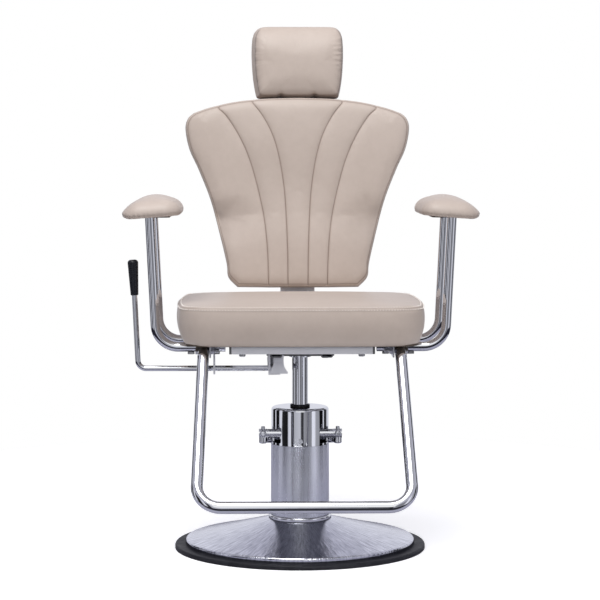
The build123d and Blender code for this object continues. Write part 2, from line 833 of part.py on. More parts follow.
with BuildPart() as seat_board:
    with BuildSketch(Plane.XY.offset(seat_underside)):
        with Locations((0, seat_middle_y)):
            RectangleRounded(
                seat_width - 2 * board_inset,
                seat_depth - 2 * board_inset,
                board_corner_radius,
            )
    extrude(amount=board_thickness)
    with BuildSketch(Plane.XY.offset(seat_underside)):
        with Locations(*board_hole_places):
            Circle(hole_radius)
    extrude(amount=board_bite, mode=Mode.SUBTRACT)
write(seat_board, "seat_board")

with BuildPart() as seat_cushion:
    with BuildSketch(Plane.XY.offset(seat_underside)):
        with Locations((0, seat_middle_y)):
            RectangleRounded(seat_width, seat_depth, seat_corner_radius)
    extrude(amount=seat_top - seat_underside)
    fillet(seat_cushion.edges().group_by(Axis.Z)[-1], radius=seat_edge_radius)
    with BuildSketch(Plane.XY.offset(seat_underside)):
        with Locations((0, seat_middle_y)):
            RectangleRounded(
                seat_width - 2 * (board_inset - pocket_gap),
                seat_depth - 2 * (board_inset - pocket_gap),
                board_corner_radius,
            )
    extrude(amount=board_thickness, mode=Mode.SUBTRACT)
write(seat_cushion, "seat_cushion")

arm_rise = pad_bottom - arm_tube_z
arm_tube_corner_x = arm_tube_top_x - arm_rise * math.tan(math.radians(arm_tube_lean))
arm_tube_over_x = arm_tube_top_x + arm_tube_trim * math.tan(math.radians(arm_tube_lean))


def arm_tube(side, y):
    """One bent armrest tube, from under the seat up to the arm plate."""
    with BuildPart() as tube:
        with BuildLine(Plane(origin=(0, y, 0), x_dir=(1, 0, 0), z_dir=(0, -1, 0))) as route:
            FilletPolyline(
                (side * arm_tube_inner_x, arm_tube_z),
                (side * arm_tube_corner_x, arm_tube_z),
                (side * arm_tube_over_x, pad_bottom + arm_tube_trim),
                radius=arm_tube_bend,
            )
        with BuildSketch(Plane(origin=route.line @ 0, z_dir=route.line % 0)):
            Circle(arm_tube_radius)
            Circle(arm_tube_radius - arm_tube_wall, mode=Mode.SUBTRACT)
        sweep(path=route.line)
        split(bisect_by=Plane.XY.offset(pad_bottom), keep=Keep.BOTTOM)
        with BuildSketch(Plane.XY.offset(arm_tube_z - arm_tube_radius)):
            with Locations(*[(side * x, y) for x in arm_bolt_x]):
                Circle(hole_radius)
        extrude(amount=2 * arm_tube_radius, mode=Mode.SUBTRACT)
    return tube


for side, side_name in ((-1, "right"), (1, "left")):
    write(arm_tube(side, arm_tube_front_y), f"arm_tube_{side_name}_front")
    write(arm_tube(side, arm_tube_rear_y), f"arm_tube_{side_name}_rear")


def hung_bolts(places, seating, head_radius):
    """Hexagon bolts put in from below, each reaching up into the seat board."""
    with BuildPart() as bolts:
        with BuildSketch(Plane.XY.offset(seating - bolt_head_height)):
            with Locations(*places):
                RegularPolygon(radius=head_radius, side_count=6)
        extrude(amount=bolt_head_height)
        with BuildSketch(Plane.XY.offset(seating)):
            with Locations(*places):
                Circle(shank_radius)
        extrude(amount=seat_underside + board_bite - seating)
    return bolts


arm_bolt_seating = arm_tube_z - arm_tube_radius - head_gap
write(hung_bolts(arm_tube_places, arm_bolt_seating, hexagon_radius), "arm_bolts")

footrest_bolt_places = [(y, footrest_root_z) for y in footrest_bolt_y]
lug_middle_y = sum(lug_plate_y) / 2
lug_length = lug_plate_y[1] - lug_plate_y[0]

with BuildPart() as footrest_lugs:
    for side in (-1, 1):
        with BuildSketch(Plane.XY.offset(lug_plate_bottom)):
            with Locations((side * sum(lug_plate_x) / 2, lug_middle_y)):
                Rectangle(lug_plate_x[1] - lug_plate_x[0], lug_length)
        extrude(amount=seat_underside - lug_plate_bottom)
        with BuildSketch(Plane.XY.offset(seat_underside - lug_flange_thickness)):
            with Locations((side * (lug_flange_inner_x + lug_plate_x[0]) / 2, lug_middle_y)):
                Rectangle(lug_plate_x[0] - lug_flange_inner_x, lug_length)
        extrude(amount=lug_flange_thickness)
    with BuildSketch(Plane.YZ):
        with Locations(*footrest_bolt_places):
            Circle(hole_radius)
    extrude(amount=lug_plate_x[1], both=True, mode=Mode.SUBTRACT)
write(footrest_lugs, "footrest_lugs")

with BuildPart() as footrest_bolts:
    for side in (-1, 1):
        with BuildSketch(Plane.YZ.offset(side * footrest_bolt_span[0])):
            with Locations(*footrest_bolt_places):
                Circle(shank_radius)
        extrude(amount=side * (footrest_bolt_span[1] - footrest_bolt_span[0]))
        with BuildSketch(Plane.YZ.offset(side * (footrest_top_x + footrest_tube_radius + head_gap))):
            with Locations(*footrest_bolt_places):
                RegularPolygon(radius=hexagon_radius, side_count=6)
        extrude(amount=side * bolt_head_height)
        with BuildSketch(Plane.YZ.offset(side * lug_plate_x[0])):
            with Locations(*footrest_bolt_places):
                RegularPolygon(radius=hexagon_radius, side_count=6)
        extrude(amount=-side * footrest_nut_length)
write(footrest_bolts, "footrest_bolts")

pad_places = [(side * pad_centre_x, pad_centre_y) for side in (-1, 1)]

with BuildPart() as arm_plates:
    with BuildSketch(Plane.XY.offset(pad_bottom)):
        with Locations(*pad_places):
            RectangleRounded(*arm_plate_size, arm_plate_corner)
    extrude(amount=arm_plate_thickness)
write(arm_plates, "arm_plates")


def arm_pad(side):
    """A padded armrest top with a pocket for its plate."""
    with BuildPart() as pad:
        with BuildSketch(Plane.XY.offset(pad_bottom)):
            with Locations((side * pad_centre_x, pad_centre_y)):
                RectangleRounded(pad_width, pad_length, pad_corner_radius)
        extrude(amount=pad_top - pad_bottom)
        fillet(pad.edges().group_by(Axis.Z)[-1], radius=pad_edge_radius)
        with BuildSketch(Plane.XY.offset(pad_bottom)):
            with Locations((side * pad_centre_x, pad_centre_y)):
                RectangleRounded(
                    arm_plate_size[0] + 2 * pocket_gap,
                    arm_plate_size[1] + 2 * pocket_gap,
                    arm_plate_corner,
                )
        extrude(amount=arm_plate_thickness, mode=Mode.SUBTRACT)
    return pad


write(arm_pad(-1), "arm_pad_right")
write(arm_pad(1), "arm_pad_left")

with BuildPart() as footrest_bar:
    with BuildLine() as footrest_line:
        FilletPolyline(
            (-footrest_top_x, footrest_root_y, footrest_root_z),
            (-footrest_top_x, footrest_knee_y, footrest_root_z),
            (-footrest_bottom_x, footrest_bar_y, footrest_bar_z),
            (footrest_bottom_x, footrest_bar_y, footrest_bar_z),
            (footrest_top_x, footrest_knee_y, footrest_root_z),
            (footrest_top_x, footrest_root_y, footrest_root_z),
            radius=footrest_bend,
        )
    with BuildSketch(Plane(origin=footrest_line.line @ 0, z_dir=footrest_line.line % 0)):
        Circle(footrest_tube_radius)
        Circle(footrest_tube_radius - footrest_tube_wall, mode=Mode.SUBTRACT)
    sweep(path=footrest_line.line)
    with BuildSketch(Plane.YZ):
        with Locations(*footrest_bolt_places):
            Circle(hole_radius)
    extrude(amount=footrest_bolt_span[1], both=True, mode=Mode.SUBTRACT)
write(footrest_bar, "footrest_bar")

with BuildPart() as hinge_pin:
    with BuildSketch(Plane.YZ):
        with Locations((hinge_y, hinge_z)):
            Circle(hinge_pin_radius)
    extrude(amount=bearer_outer_x + hinge_head_height, both=True)
    for side in (-1, 1):
        with BuildSketch(Plane.YZ.offset(side * bearer_outer_x)):
            with Locations((hinge_y, hinge_z)):
                Circle(hinge_head_radius)
        extrude(amount=side * hinge_head_height)
write(hinge_pin, "hinge_pin")

bracket_length = bracket_rear - lock_bracket_front
bracket_ceiling = swivel_plate_top - bracket_wall

bell_corner = (bell_x + bell_foot_half_width, bracket_bottom)
bell_foot = (bell_x + bell_foot_half_width, bracket_bottom + bell_foot_height)
bell_flare = (bell_x + bell_flare_half_width, bell_flare_z)
bell_neck = (bell_x + bell_neck_half_width, bell_neck_z)
bell_shoulder = (bell_x + bell_neck_half_width, swivel_plate_top)

with BuildPart() as release_bracket:
    with BuildSketch(Plane.XY.offset(bracket_ceiling)):
        with Locations((lock_x, (lock_bracket_front + bracket_rear) / 2)):
            Rectangle(2 * bracket_half_width, bracket_length)
    extrude(amount=bracket_wall)
    for cheek_x in (lock_x - bracket_half_width, lock_x + bracket_half_width - bracket_wall):
        with BuildSketch(Plane.YZ.offset(cheek_x)):
            with BuildLine():
                Polyline(
                    (lock_bracket_front, cheek_shoulder_z),
                    (lever_y - lever_rod_radius, bracket_bottom),
                    (bracket_rear, cheek_heel_z),
                    (bracket_rear, bracket_ceiling),
                    (lock_bracket_front, bracket_ceiling),
                    close=True,
                )
            make_face()
        extrude(amount=bracket_wall)
    with BuildSketch(Plane.YZ.offset(lock_x - bracket_half_width)):
        with Locations((lever_y, lever_z)):
            Circle(lever_rod_radius + running_fit)
    extrude(amount=bracket_wall, mode=Mode.SUBTRACT)
    with BuildSketch(Plane.XZ.offset(-bracket_rear)):
        with Locations((lock_x, (cheek_heel_z + swivel_plate_top) / 2)):
            Rectangle(2 * bracket_half_width, swivel_plate_top - cheek_heel_z)
        with Locations((lock_x, lock_z)):
            Circle(gas_rod_radius + press_fit, mode=Mode.SUBTRACT)
    extrude(amount=bracket_rear_wall)
    with BuildSketch(Plane.XZ.offset(-lock_bracket_front)):
        with BuildLine():
            Line((bell_x, bracket_bottom), bell_corner)
            Line(bell_corner, bell_foot)
            ThreePointArc(bell_foot, bell_flare, bell_neck)
            Line(bell_neck, bell_shoulder)
            Line(bell_shoulder, (bell_x, swivel_plate_top))
            mirror(about=Plane.YZ.offset(bell_x))
        make_face()
    extrude(amount=bell_thickness)
write(release_bracket, "release_bracket")

with BuildPart() as gas_rod:
    with BuildSketch(Plane.XZ.offset(-gas_rod_front)):
        with Locations((lock_x, lock_z)):
            Circle(gas_rod_radius)
    extrude(amount=gas_rod_front - gas_rod_rear)
    with BuildSketch(Plane.XZ.offset(-gas_rod_rear)):
        with Locations((lock_x, lock_z)):
            Circle(lock_piston_radius)
    extrude(amount=lock_piston_length)
write(gas_rod, "gas_rod")

with BuildPart() as lever_hanger:
    with BuildSketch(Plane.YZ.offset(hanger_x - hanger_thickness / 2)):
        with Locations((lever_y, (hanger_bottom + seat_underside) / 2)):
            RectangleRounded(hanger_width, seat_underside - hanger_bottom, hanger_thickness / 2)
        with Locations((lever_y, lever_z)):
            Circle(lever_rod_radius + running_fit, mode=Mode.SUBTRACT)
    extrude(amount=hanger_thickness)
    with BuildSketch(Plane.XY.offset(seat_underside - hanger_tab_thickness)):
        with Locations((hanger_x + hanger_tab[0] / 2, lever_y)):
            Rectangle(*hanger_tab)
    extrude(amount=hanger_tab_thickness)
write(lever_hanger, "lever_hanger")

# ============================ backrest =======================================
def back_outline(inset):
    """Outline of the backrest, wide at the shoulders and narrow at the waist, drawn in by inset."""
    foot = (138 - inset / 2, inset)
    hip = (163 - inset, 26 + inset / 2)
    shoulder = (262.5 - inset, 372)
    corner = (226 - inset / 2, 415 - inset)
    with BuildLine() as outline:
        Line((0, inset), foot)
        Line(foot, hip)
        Spline(hip, (180.5 - inset, 121), (202 - inset, 204), (247 - inset, 318), shoulder)
        ThreePointArc(shoulder, (252 - inset, 398 - inset / 2), corner)
        ThreePointArc(corner, (115, 438 - inset), (0, 444.5 - inset))
        mirror(about=Plane.YZ)
    return outline.line


half = recline_range / 2
crank_pin_y = hinge_y + crank_radius * math.sin(math.radians(half))
crank_pin_z = hinge_z - crank_radius * math.cos(math.radians(half))
strip_depth = cushion_depth + board_thickness + strip_thickness / 2
strip_top = back_plane.from_local_coords(Vector(0, strip_reach, -strip_depth))
strip_base_y = strip_top.Y - (strip_top.Z - hinge_z) * math.tan(math.radians(back_lean))

with BuildPart() as back_bracket:
    with BuildSketch(Plane.YZ):
        with BuildLine() as strip_line:
            FilletPolyline(
                (hinge_y, hinge_z),
                (strip_base_y, hinge_z),
                (strip_top.Y, strip_top.Z),
                radius=strip_bend,
            )
        trace(line_width=strip_thickness)
        with Locations((hinge_y, hinge_z)):
            Circle(hinge_hub_radius)
    extrude(amount=strip_half_width, both=True)
    with BuildSketch(Plane.YZ.offset(-strip_half_width)):
        with Locations((hinge_y, hinge_z)):
            Circle(hinge_hub_radius)
        with Locations((crank_pin_y, crank_pin_z)):
            Circle(crank_eye_radius)
        make_hull()
    extrude(amount=crank_thickness)
    with BuildSketch(Plane.YZ):
        with Locations((hinge_y, hinge_z)):
            Circle(hinge_pin_radius + running_fit)
        with Locations((crank_pin_y, crank_pin_z)):
            Circle(crank_pin_radius + press_fit)
    extrude(amount=strip_half_width, both=True, mode=Mode.SUBTRACT)
    with BuildSketch(back_plane.offset(-strip_depth - strip_thickness)):
        with Locations((0, strip_reach / 2)):
            with GridLocations(*back_screw_spacing, 2, 2):
                Circle(hole_radius)
    extrude(amount=2 * strip_thickness, mode=Mode.SUBTRACT)
write(back_bracket, "back_bracket")

with BuildPart() as crank_pin:
    with BuildSketch(Plane.YZ.offset(-strip_half_width + crank_thickness)):
        with Locations((crank_pin_y, crank_pin_z)):
            Circle(crank_pin_radius)
    extrude(amount=crank_pin_end_x + strip_half_width - crank_thickness)
write(crank_pin, "crank_pin")

with BuildPart() as back_board:
    with BuildSketch(back_plane.offset(-cushion_depth - board_thickness)):
        with BuildLine():
            add(back_outline(back_board_inset))
        make_face()
        with Locations((0, strip_reach / 2)):
            with GridLocations(*back_screw_spacing, 2, 2):
                Circle(hole_radius, mode=Mode.SUBTRACT)
    extrude(amount=board_thickness)
write(back_board, "back_board")

with BuildPart() as back_cushion:
    with BuildSketch(back_plane.offset(-cushion_depth)):
        with BuildLine():
            add(back_outline(0))
        make_face()
    extrude(amount=cushion_depth)
    front_face = back_cushion.faces().sort_by(Axis(back_plane.origin, back_plane.z_dir))[-1]
    fillet(front_face.edges(), radius=back_edge_radius)
    with BuildSketch(back_plane.offset(-cushion_depth)):
        for side in (-1, 1):
            with Locations((side * post_x, (guide_pocket[0] + guide_pocket[1]) / 2)):
                Rectangle(guide_size + 2 * pocket_gap, guide_pocket[1] - guide_pocket[0])
    extrude(amount=guide_size + pocket_gap, mode=Mode.SUBTRACT)
    with BuildSketch(back_plane.offset(-cushion_depth)):
        with Locations((0, strip_reach / 2)):
            with GridLocations(*back_screw_spacing, 2, 2):
                Circle(hole_radius)
    extrude(amount=board_bite, mode=Mode.SUBTRACT)
write(back_cushion, "back_cushion")

with BuildPart() as bracket_screws:
    with BuildSketch(back_plane.offset(-strip_depth - strip_thickness / 2 - bolt_head_height)):
        with Locations((0, strip_reach / 2)):
            with GridLocations(*back_screw_spacing, 2, 2):
                Circle(back_screw_head_radius)
    extrude(amount=bolt_head_height)
    fillet(
        bracket_screws.faces().sort_by(Axis(back_plane.origin, back_plane.z_dir))[:4].edges(),
        radius=back_screw_edge_radius,
    )
    with BuildSketch(back_plane.offset(-strip_depth - strip_thickness / 2)):
        with Locations((0, strip_reach / 2)):
            with GridLocations(*back_screw_spacing, 2, 2):
                Circle(shank_radius)
    extrude(amount=strip_thickness + board_thickness + back_screw_bite)
write(bracket_screws, "bracket_screws")

with BuildPart() as headrest_guides:
    with BuildSketch(back_plane.offset(-cushion_depth)):
        for side in (-1, 1):
            with Locations((side * post_x, (guide_bottom + guide_top) / 2)):
                Rectangle(guide_size, guide_top - guide_bottom)
    extrude(amount=guide_size)
    guide_foot = back_plane.from_local_coords(Vector(0, guide_bottom, -post_depth))
    with BuildSketch(Plane(origin=guide_foot, x_dir=(1, 0, 0), z_dir=back_plane.y_dir)):
        for side in (-1, 1):
            with Locations((side * post_x, 0)):
                Circle(post_radius + running_fit)
    extrude(amount=guide_top - guide_bottom, mode=Mode.SUBTRACT)
write(headrest_guides, "headrest_guides")

# ============================ headrest =======================================
head_middle = (head_bottom + head_top) / 2
head_length = head_top - head_bottom
head_plate_depth = post_depth + post_radius + head_plate_thickness

with BuildPart() as headrest_frame:
    post_foot = back_plane.from_local_coords(Vector(0, post_bottom, -post_depth))
    with BuildSketch(Plane(origin=post_foot, x_dir=(1, 0, 0), z_dir=back_plane.y_dir)):
        for side in (-1, 1):
            with Locations((side * post_x, 0)):
                Circle(post_radius)
    extrude(amount=post_top - post_bottom)
    with BuildSketch(back_plane.offset(-head_plate_depth)):
        with Locations((0, head_plate_centre)):
            Rectangle(*head_plate_size)
    extrude(amount=head_plate_thickness + head_rebate)
write(headrest_frame, "headrest_frame")

with BuildPart() as headrest_board:
    with BuildSketch(back_plane.offset(-head_plate_depth - head_board_thickness)):
        with Locations((0, head_middle)):
            RectangleRounded(
                head_width - 2 * head_board_inset,
                head_length - 2 * head_board_inset,
                head_board_radius,
            )
    extrude(amount=head_board_thickness)
write(headrest_board, "headrest_board")

with BuildPart() as headrest_cushion:
    with BuildSketch(back_plane.offset(-head_plate_depth)):
        with Locations((0, head_middle)):
            RectangleRounded(head_width, head_length, head_corner_radius)
    extrude(amount=head_plate_depth)
    head_front = headrest_cushion.faces().sort_by(Axis(back_plane.origin, back_plane.z_dir))[-1]
    fillet(head_front.edges(), radius=head_edge_radius)
    with BuildSketch(back_plane.offset(-head_plate_depth)):
        with Locations((0, head_plate_centre)):
            Rectangle(head_plate_size[0] + 2 * pocket_gap, head_plate_size[1] + 2 * pocket_gap)
    extrude(amount=head_plate_thickness + head_rebate + pocket_gap, mode=Mode.SUBTRACT)
    with BuildSketch(back_plane.offset(-head_plate_depth)):
        for side in (-1, 1):
            with Locations((side * post_x, (post_pocket[0] + post_pocket[1]) / 2)):
                Rectangle(2 * (post_radius + pocket_gap), post_pocket[1] - post_pocket[0])
    extrude(amount=head_plate_thickness + 2 * post_radius + pocket_gap, mode=Mode.SUBTRACT)
write(headrest_cushion, "headrest_cushion")

# ============================ lock cylinder ==================================
with BuildPart() as gas_cylinder:
    with BuildSketch(Plane.XZ.offset(-lock_rear)):
        with Locations((lock_x, lock_z)):
            Circle(lock_body_radius)
    extrude(amount=lock_rear - lock_front)
    with BuildSketch(Plane.XZ.offset(-lock_rear + lock_end_wall)):
        with Locations((lock_x, lock_z)):
            Circle(lock_bore_radius)
    extrude(amount=lock_rear - lock_front - lock_end_wall - lock_nose, mode=Mode.SUBTRACT)
    with BuildSketch(Plane.XZ.offset(-lock_front - lock_nose)):
        with Locations((lock_x, lock_z)):
            Circle(gas_rod_radius + running_fit)
    extrude(amount=lock_nose, mode=Mode.SUBTRACT)
    with BuildSketch(Plane.YZ.offset(lock_x)):
        with Locations(((lock_rear + fork_rear) / 2, lock_z)):
            RectangleRounded(fork_rear - lock_rear, 2 * fork_half_height, fork_corner_radius)
        with Locations((lock_rear + fork_half_width, lock_z)):
            Rectangle(2 * fork_half_width, 2 * fork_half_height)
        with Locations((crank_pin_y, lock_z)):
            RectangleRounded(
                2 * slot_half_width,
                2 * slot_half_height,
                slot_half_width - clearance,
                mode=Mode.SUBTRACT,
            )
    extrude(amount=fork_half_width, both=True)
write(gas_cylinder, "gas_cylinder")

# ============================ recline lever ==================================
lever_top_x = lever_corner_x - (lever_top - lever_z) * math.tan(math.radians(lever_lean))
lever_axis = Vector(lever_top_x - lever_corner_x, 0, lever_top - lever_z).normalized()


def lever_point(height):
    """The point of the lever's upright at a height."""
    run = (height - lever_z) * math.tan(math.radians(lever_lean))
    return Vector(lever_corner_x - run, lever_y, height)


with BuildPart() as lever_rod:
    with BuildLine() as lever_line:
        FilletPolyline(
            (lever_inner_x, lever_y, lever_z),
            (lever_corner_x, lever_y, lever_z),
            (lever_top_x, lever_y, lever_top),
            radius=lever_bend,
        )
    with BuildSketch(Plane(origin=lever_line.line @ 0, z_dir=lever_line.line % 0)):
        Circle(lever_rod_radius)
    sweep(path=lever_line.line)
write(lever_rod, "lever_rod")

grip_length = grip_top - grip_bottom

with BuildPart() as lever_grip:
    grip_plane = Plane(origin=lever_point(grip_bottom), x_dir=(0, 1, 0), z_dir=lever_axis)
    with BuildSketch(grip_plane):
        Circle(grip_bottom_radius)
    with BuildSketch(grip_plane.offset(grip_length)):
        Circle(grip_top_radius)
    loft()
    fillet(lever_grip.edges().filter_by(GeomType.CIRCLE).sort_by(Axis.Z)[-1], radius=grip_crown_radius)
    fillet(lever_grip.edges().filter_by(GeomType.CIRCLE).sort_by(Axis.Z)[0], radius=grip_foot_radius)
    with BuildSketch(grip_plane):
        Circle(lever_rod_radius + press_fit)
    extrude(amount=(lever_top - grip_bottom) / lever_axis.Z + clearance, mode=Mode.SUBTRACT)
write(lever_grip, "lever_grip")

with BuildPart() as lever_cam:
    with BuildSketch(Plane.YZ.offset(lock_x - cam_width / 2)):
        with Locations((lever_y, lever_z)):
            Circle(cam_radius)
        with Locations((lever_y + cam_nose_offset[0], lever_z + cam_nose_offset[1])):
            Circle(cam_nose_radius)
        with Locations((lever_y, lever_z)):
            Circle(lever_rod_radius + press_fit, mode=Mode.SUBTRACT)
    extrude(amount=cam_width)
write(lever_cam, "lever_cam")
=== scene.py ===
import math

import bpy
import numpy as np
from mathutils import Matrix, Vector


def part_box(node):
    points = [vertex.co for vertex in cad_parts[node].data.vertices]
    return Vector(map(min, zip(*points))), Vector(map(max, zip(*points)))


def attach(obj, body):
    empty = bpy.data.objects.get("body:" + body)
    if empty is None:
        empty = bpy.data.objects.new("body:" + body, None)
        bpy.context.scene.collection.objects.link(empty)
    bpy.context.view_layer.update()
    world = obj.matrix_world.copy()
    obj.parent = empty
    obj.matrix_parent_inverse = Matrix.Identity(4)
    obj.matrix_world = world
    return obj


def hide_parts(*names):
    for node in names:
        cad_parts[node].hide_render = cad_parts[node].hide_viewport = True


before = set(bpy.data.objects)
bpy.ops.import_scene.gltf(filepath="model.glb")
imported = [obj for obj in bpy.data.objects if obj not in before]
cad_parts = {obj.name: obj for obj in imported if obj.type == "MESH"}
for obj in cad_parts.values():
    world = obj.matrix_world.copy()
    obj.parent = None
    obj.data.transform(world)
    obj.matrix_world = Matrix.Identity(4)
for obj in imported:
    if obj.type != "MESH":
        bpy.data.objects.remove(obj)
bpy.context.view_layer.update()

# Looks for the hydraulic barber chair.  Metres, +Z up, the sitter faces -Y.  Cushion
# shapes are laid out in millimetres in each cushion's own plane and placed by the frame.

MM = 0.001

# ---------------------------------------------------------------- camera ----
CAMERA_DISTANCE = 4.778
CAMERA_HEIGHT = 0.911
CAMERA_TURN = math.radians(1.3)
AIM_HEIGHT = 0.554
LENS_MM = 129.0


def make_camera():
    """A long lens a little above the seat, a touch to the sitter's right of the front."""
    data = bpy.data.cameras.new("camera")
    data.lens = LENS_MM
    data.sensor_width = 36.0
    data.clip_end = 60.0
    camera = bpy.data.objects.new("camera", data)
    bpy.context.collection.objects.link(camera)
    camera.location = (
        -CAMERA_DISTANCE * math.sin(CAMERA_TURN),
        -CAMERA_DISTANCE * math.cos(CAMERA_TURN),
        CAMERA_HEIGHT,
    )
    aim = Vector((0.0, 0.0, AIM_HEIGHT)) - camera.location
    camera.rotation_euler = aim.to_track_quat("-Z", "Y").to_euler()
    bpy.context.scene.camera = camera


# ---------------------------------------------------------------- shaders ---
class Nodes:
    """A node tree with short helpers for making and joining its nodes."""

    def __init__(self, tree):
        self.tree = tree

    def new(self, kind):
        return self.tree.nodes.new("ShaderNode" + kind)

    def link(self, source, target):
        self.tree.links.new(source, target)

    def feed(self, socket, value):
        """Gives a socket a number, an RGB colour or another node's output."""
        if isinstance(value, (int, float)):
            socket.default_value = value
        elif isinstance(value, tuple):
            socket.default_value = (*value, 1.0)
        else:
            self.link(value, socket)

    def ramp(self, source, low, high, out_low=0.0, out_high=1.0, smooth=False):
        """Maps a value from one range to another, clamped."""
        node = self.new("MapRange")
        node.interpolation_type = "SMOOTHSTEP" if smooth else "LINEAR"
        node.inputs["From Min"].default_value = low
        node.inputs["From Max"].default_value = high
        node.inputs["To Min"].default_value = out_low
        node.inputs["To Max"].default_value = out_high
        self.link(source, node.inputs["Value"])
        return node.outputs["Result"]

    def math(self, operation, *values):
        node = self.new("Math")
        node.operation = operation
        for socket, value in zip(node.inputs, values):
            self.feed(socket, value)
        return node.outputs["Value"]

    def blend(self, first, share, second, other_share):
        """Adds a share of one value to a share of another."""
        first, second = self.math("MULTIPLY", first, share), self.math("MULTIPLY", second, other_share)
        return self.math("ADD", first, second)

    def mix(self, factor, first, second):
        """Mixes two colours, each an RGB tuple or a colour output."""
        node = self.new("Mix")
        node.data_type = "RGBA"
        self.link(factor, node.inputs["Factor"])
        for name, value in (("A", first), ("B", second)):
            socket = [s for s in node.inputs if s.name == name and s.type == "RGBA"][0]
            self.feed(socket, value)
        return [s for s in node.outputs if s.type == "RGBA"][0]

    def split(self, vector):
        """The X, Y and Z of a vector output."""
        node = self.new("SeparateXYZ")
        self.link(vector, node.inputs["Vector"])
        return [node.outputs[axis] for axis in "XYZ"]


class Shader(Nodes):
    """A Principled material with its usual textures."""

    def __init__(self, name, color, metallic=0.0, roughness=0.5):
        self.material = bpy.data.materials.new(name)
        self.material.use_nodes = True
        super().__init__(self.material.node_tree)
        self.bsdf = self.tree.nodes["Principled BSDF"]
        self.set("Base Color", (*color, 1.0))
        self.set("Metallic", metallic)
        self.set("Roughness", roughness)
        self.place = self.new("TexCoord").outputs["Object"]

    def set(self, socket, value):
        self.bsdf.inputs[socket].default_value = value

    def drive(self, socket, source):
        """Joins a node's output to the shader."""
        self.link(source, self.bsdf.inputs[socket])

    def stretched(self, scale):
        """Object coordinates scaled by a factor along each axis."""
        mapping = self.new("Mapping")
        mapping.inputs["Scale"].default_value = scale
        self.link(self.place, mapping.inputs["Vector"])
        return mapping.outputs["Vector"]

    def noise(self, scale, detail=3.0, roughness=0.5, vector=None):
        node = self.new("TexNoise")
        node.inputs["Scale"].default_value = scale
        node.inputs["Detail"].default_value = detail
        node.inputs["Roughness"].default_value = roughness
        self.link(vector or self.place, node.inputs["Vector"])
        return node.outputs["Fac"]

    def cells(self, scale, feature="F1"):
        node = self.new("TexVoronoi")
        node.feature = feature
        node.inputs["Scale"].default_value = scale
        self.link(self.place, node.inputs["Vector"])
        return node.outputs["Distance"]

    def attribute(self, name):
        node = self.new("Attribute")
        node.attribute_name = name
        return node.outputs["Fac"]

    def bump(self, height, strength, distance, below=None):
        node = self.new("Bump")
        node.inputs["Strength"].default_value = strength
        node.inputs["Distance"].default_value = distance
        self.link(height, node.inputs["Height"])
        if below is not None:
            self.link(below, node.inputs["Normal"])
        return node.outputs["Normal"]

    def wear(self):
        """High where an edge stands out, from the surface's pointiness."""
        return self.new("NewGeometry").outputs["Pointiness"]


def leather():
    """Soft grained greige upholstery leather with painted shade in its seams, and a little paler where
    rubbed.
    """
    shader = Shader("greige_leather", (0.50, 0.41, 0.36), roughness=0.46)
    tone = shader.noise(7.0, 4.0, 0.55)
    mottle = shader.noise(60.0, 5.0, 0.6)
    blend = shader.blend(tone, 0.6, mottle, 0.4)
    color = shader.mix(shader.ramp(blend, 0.35, 0.65), (0.496, 0.416, 0.362), (0.544, 0.460, 0.404))
    rubbed = shader.ramp(shader.wear(), 0.52, 0.60, 0.0, 0.5)
    color = shader.mix(rubbed, color, (0.60, 0.51, 0.465))
    # Painted shade: the leather darkens towards dark brown by the stored shade attribute, in seams and under
    # edges.
    color = shader.mix(shader.attribute("painted_shade"), color, (0.235, 0.175, 0.145))
    shader.drive("Base Color", color)
    shader.drive("Roughness", shader.ramp(mottle, 0.3, 0.7, 0.40, 0.52))
    pebble = shader.cells(620.0, "SMOOTH_F1")
    pores = shader.noise(1900.0, 2.0)
    wrinkle = shader.noise(38.0, 4.0, 0.6)
    normal = shader.bump(wrinkle, 0.10, 0.0012)
    normal = shader.bump(pebble, 0.32, 0.00035, normal)
    normal = shader.bump(pores, 0.12, 0.00012, normal)
    shader.drive("Normal", normal)
    shader.set("Sheen Weight", 0.12)
    shader.set("Sheen Roughness", 0.5)
    shader.set("Specular IOR Level", 0.42)
    return shader.material


def thread():
    """Waxed sewing thread, a shade paler than the leather."""
    shader = Shader("pale_thread", (0.74, 0.66, 0.60), roughness=0.62)
    twist = shader.noise(2600.0, 1.0)
    shader.drive("Base Color", shader.mix(twist, (0.80, 0.74, 0.68), (0.92, 0.87, 0.82)))
    return shader.material


def chrome():
    """Bright chrome plate with faint smears and the slight waviness of polished tube."""
    shader = Shader("bright_chrome_plate", (0.80, 0.81, 0.85), metallic=1.0, roughness=0.05)
    smear = shader.noise(26.0, 5.0, 0.65)
    specks = shader.noise(240.0, 3.0, 0.6)
    film = shader.blend(smear, 0.7, specks, 0.3)
    shader.drive("Roughness", shader.ramp(film, 0.42, 0.72, 0.035, 0.11))
    shader.drive("Base Color", shader.mix(smear, (0.77, 0.78, 0.82), (0.84, 0.85, 0.88)))
    ripple = shader.noise(14.0, 2.0)
    shader.drive("Normal", shader.bump(ripple, 0.06, 0.004))
    return shader.material


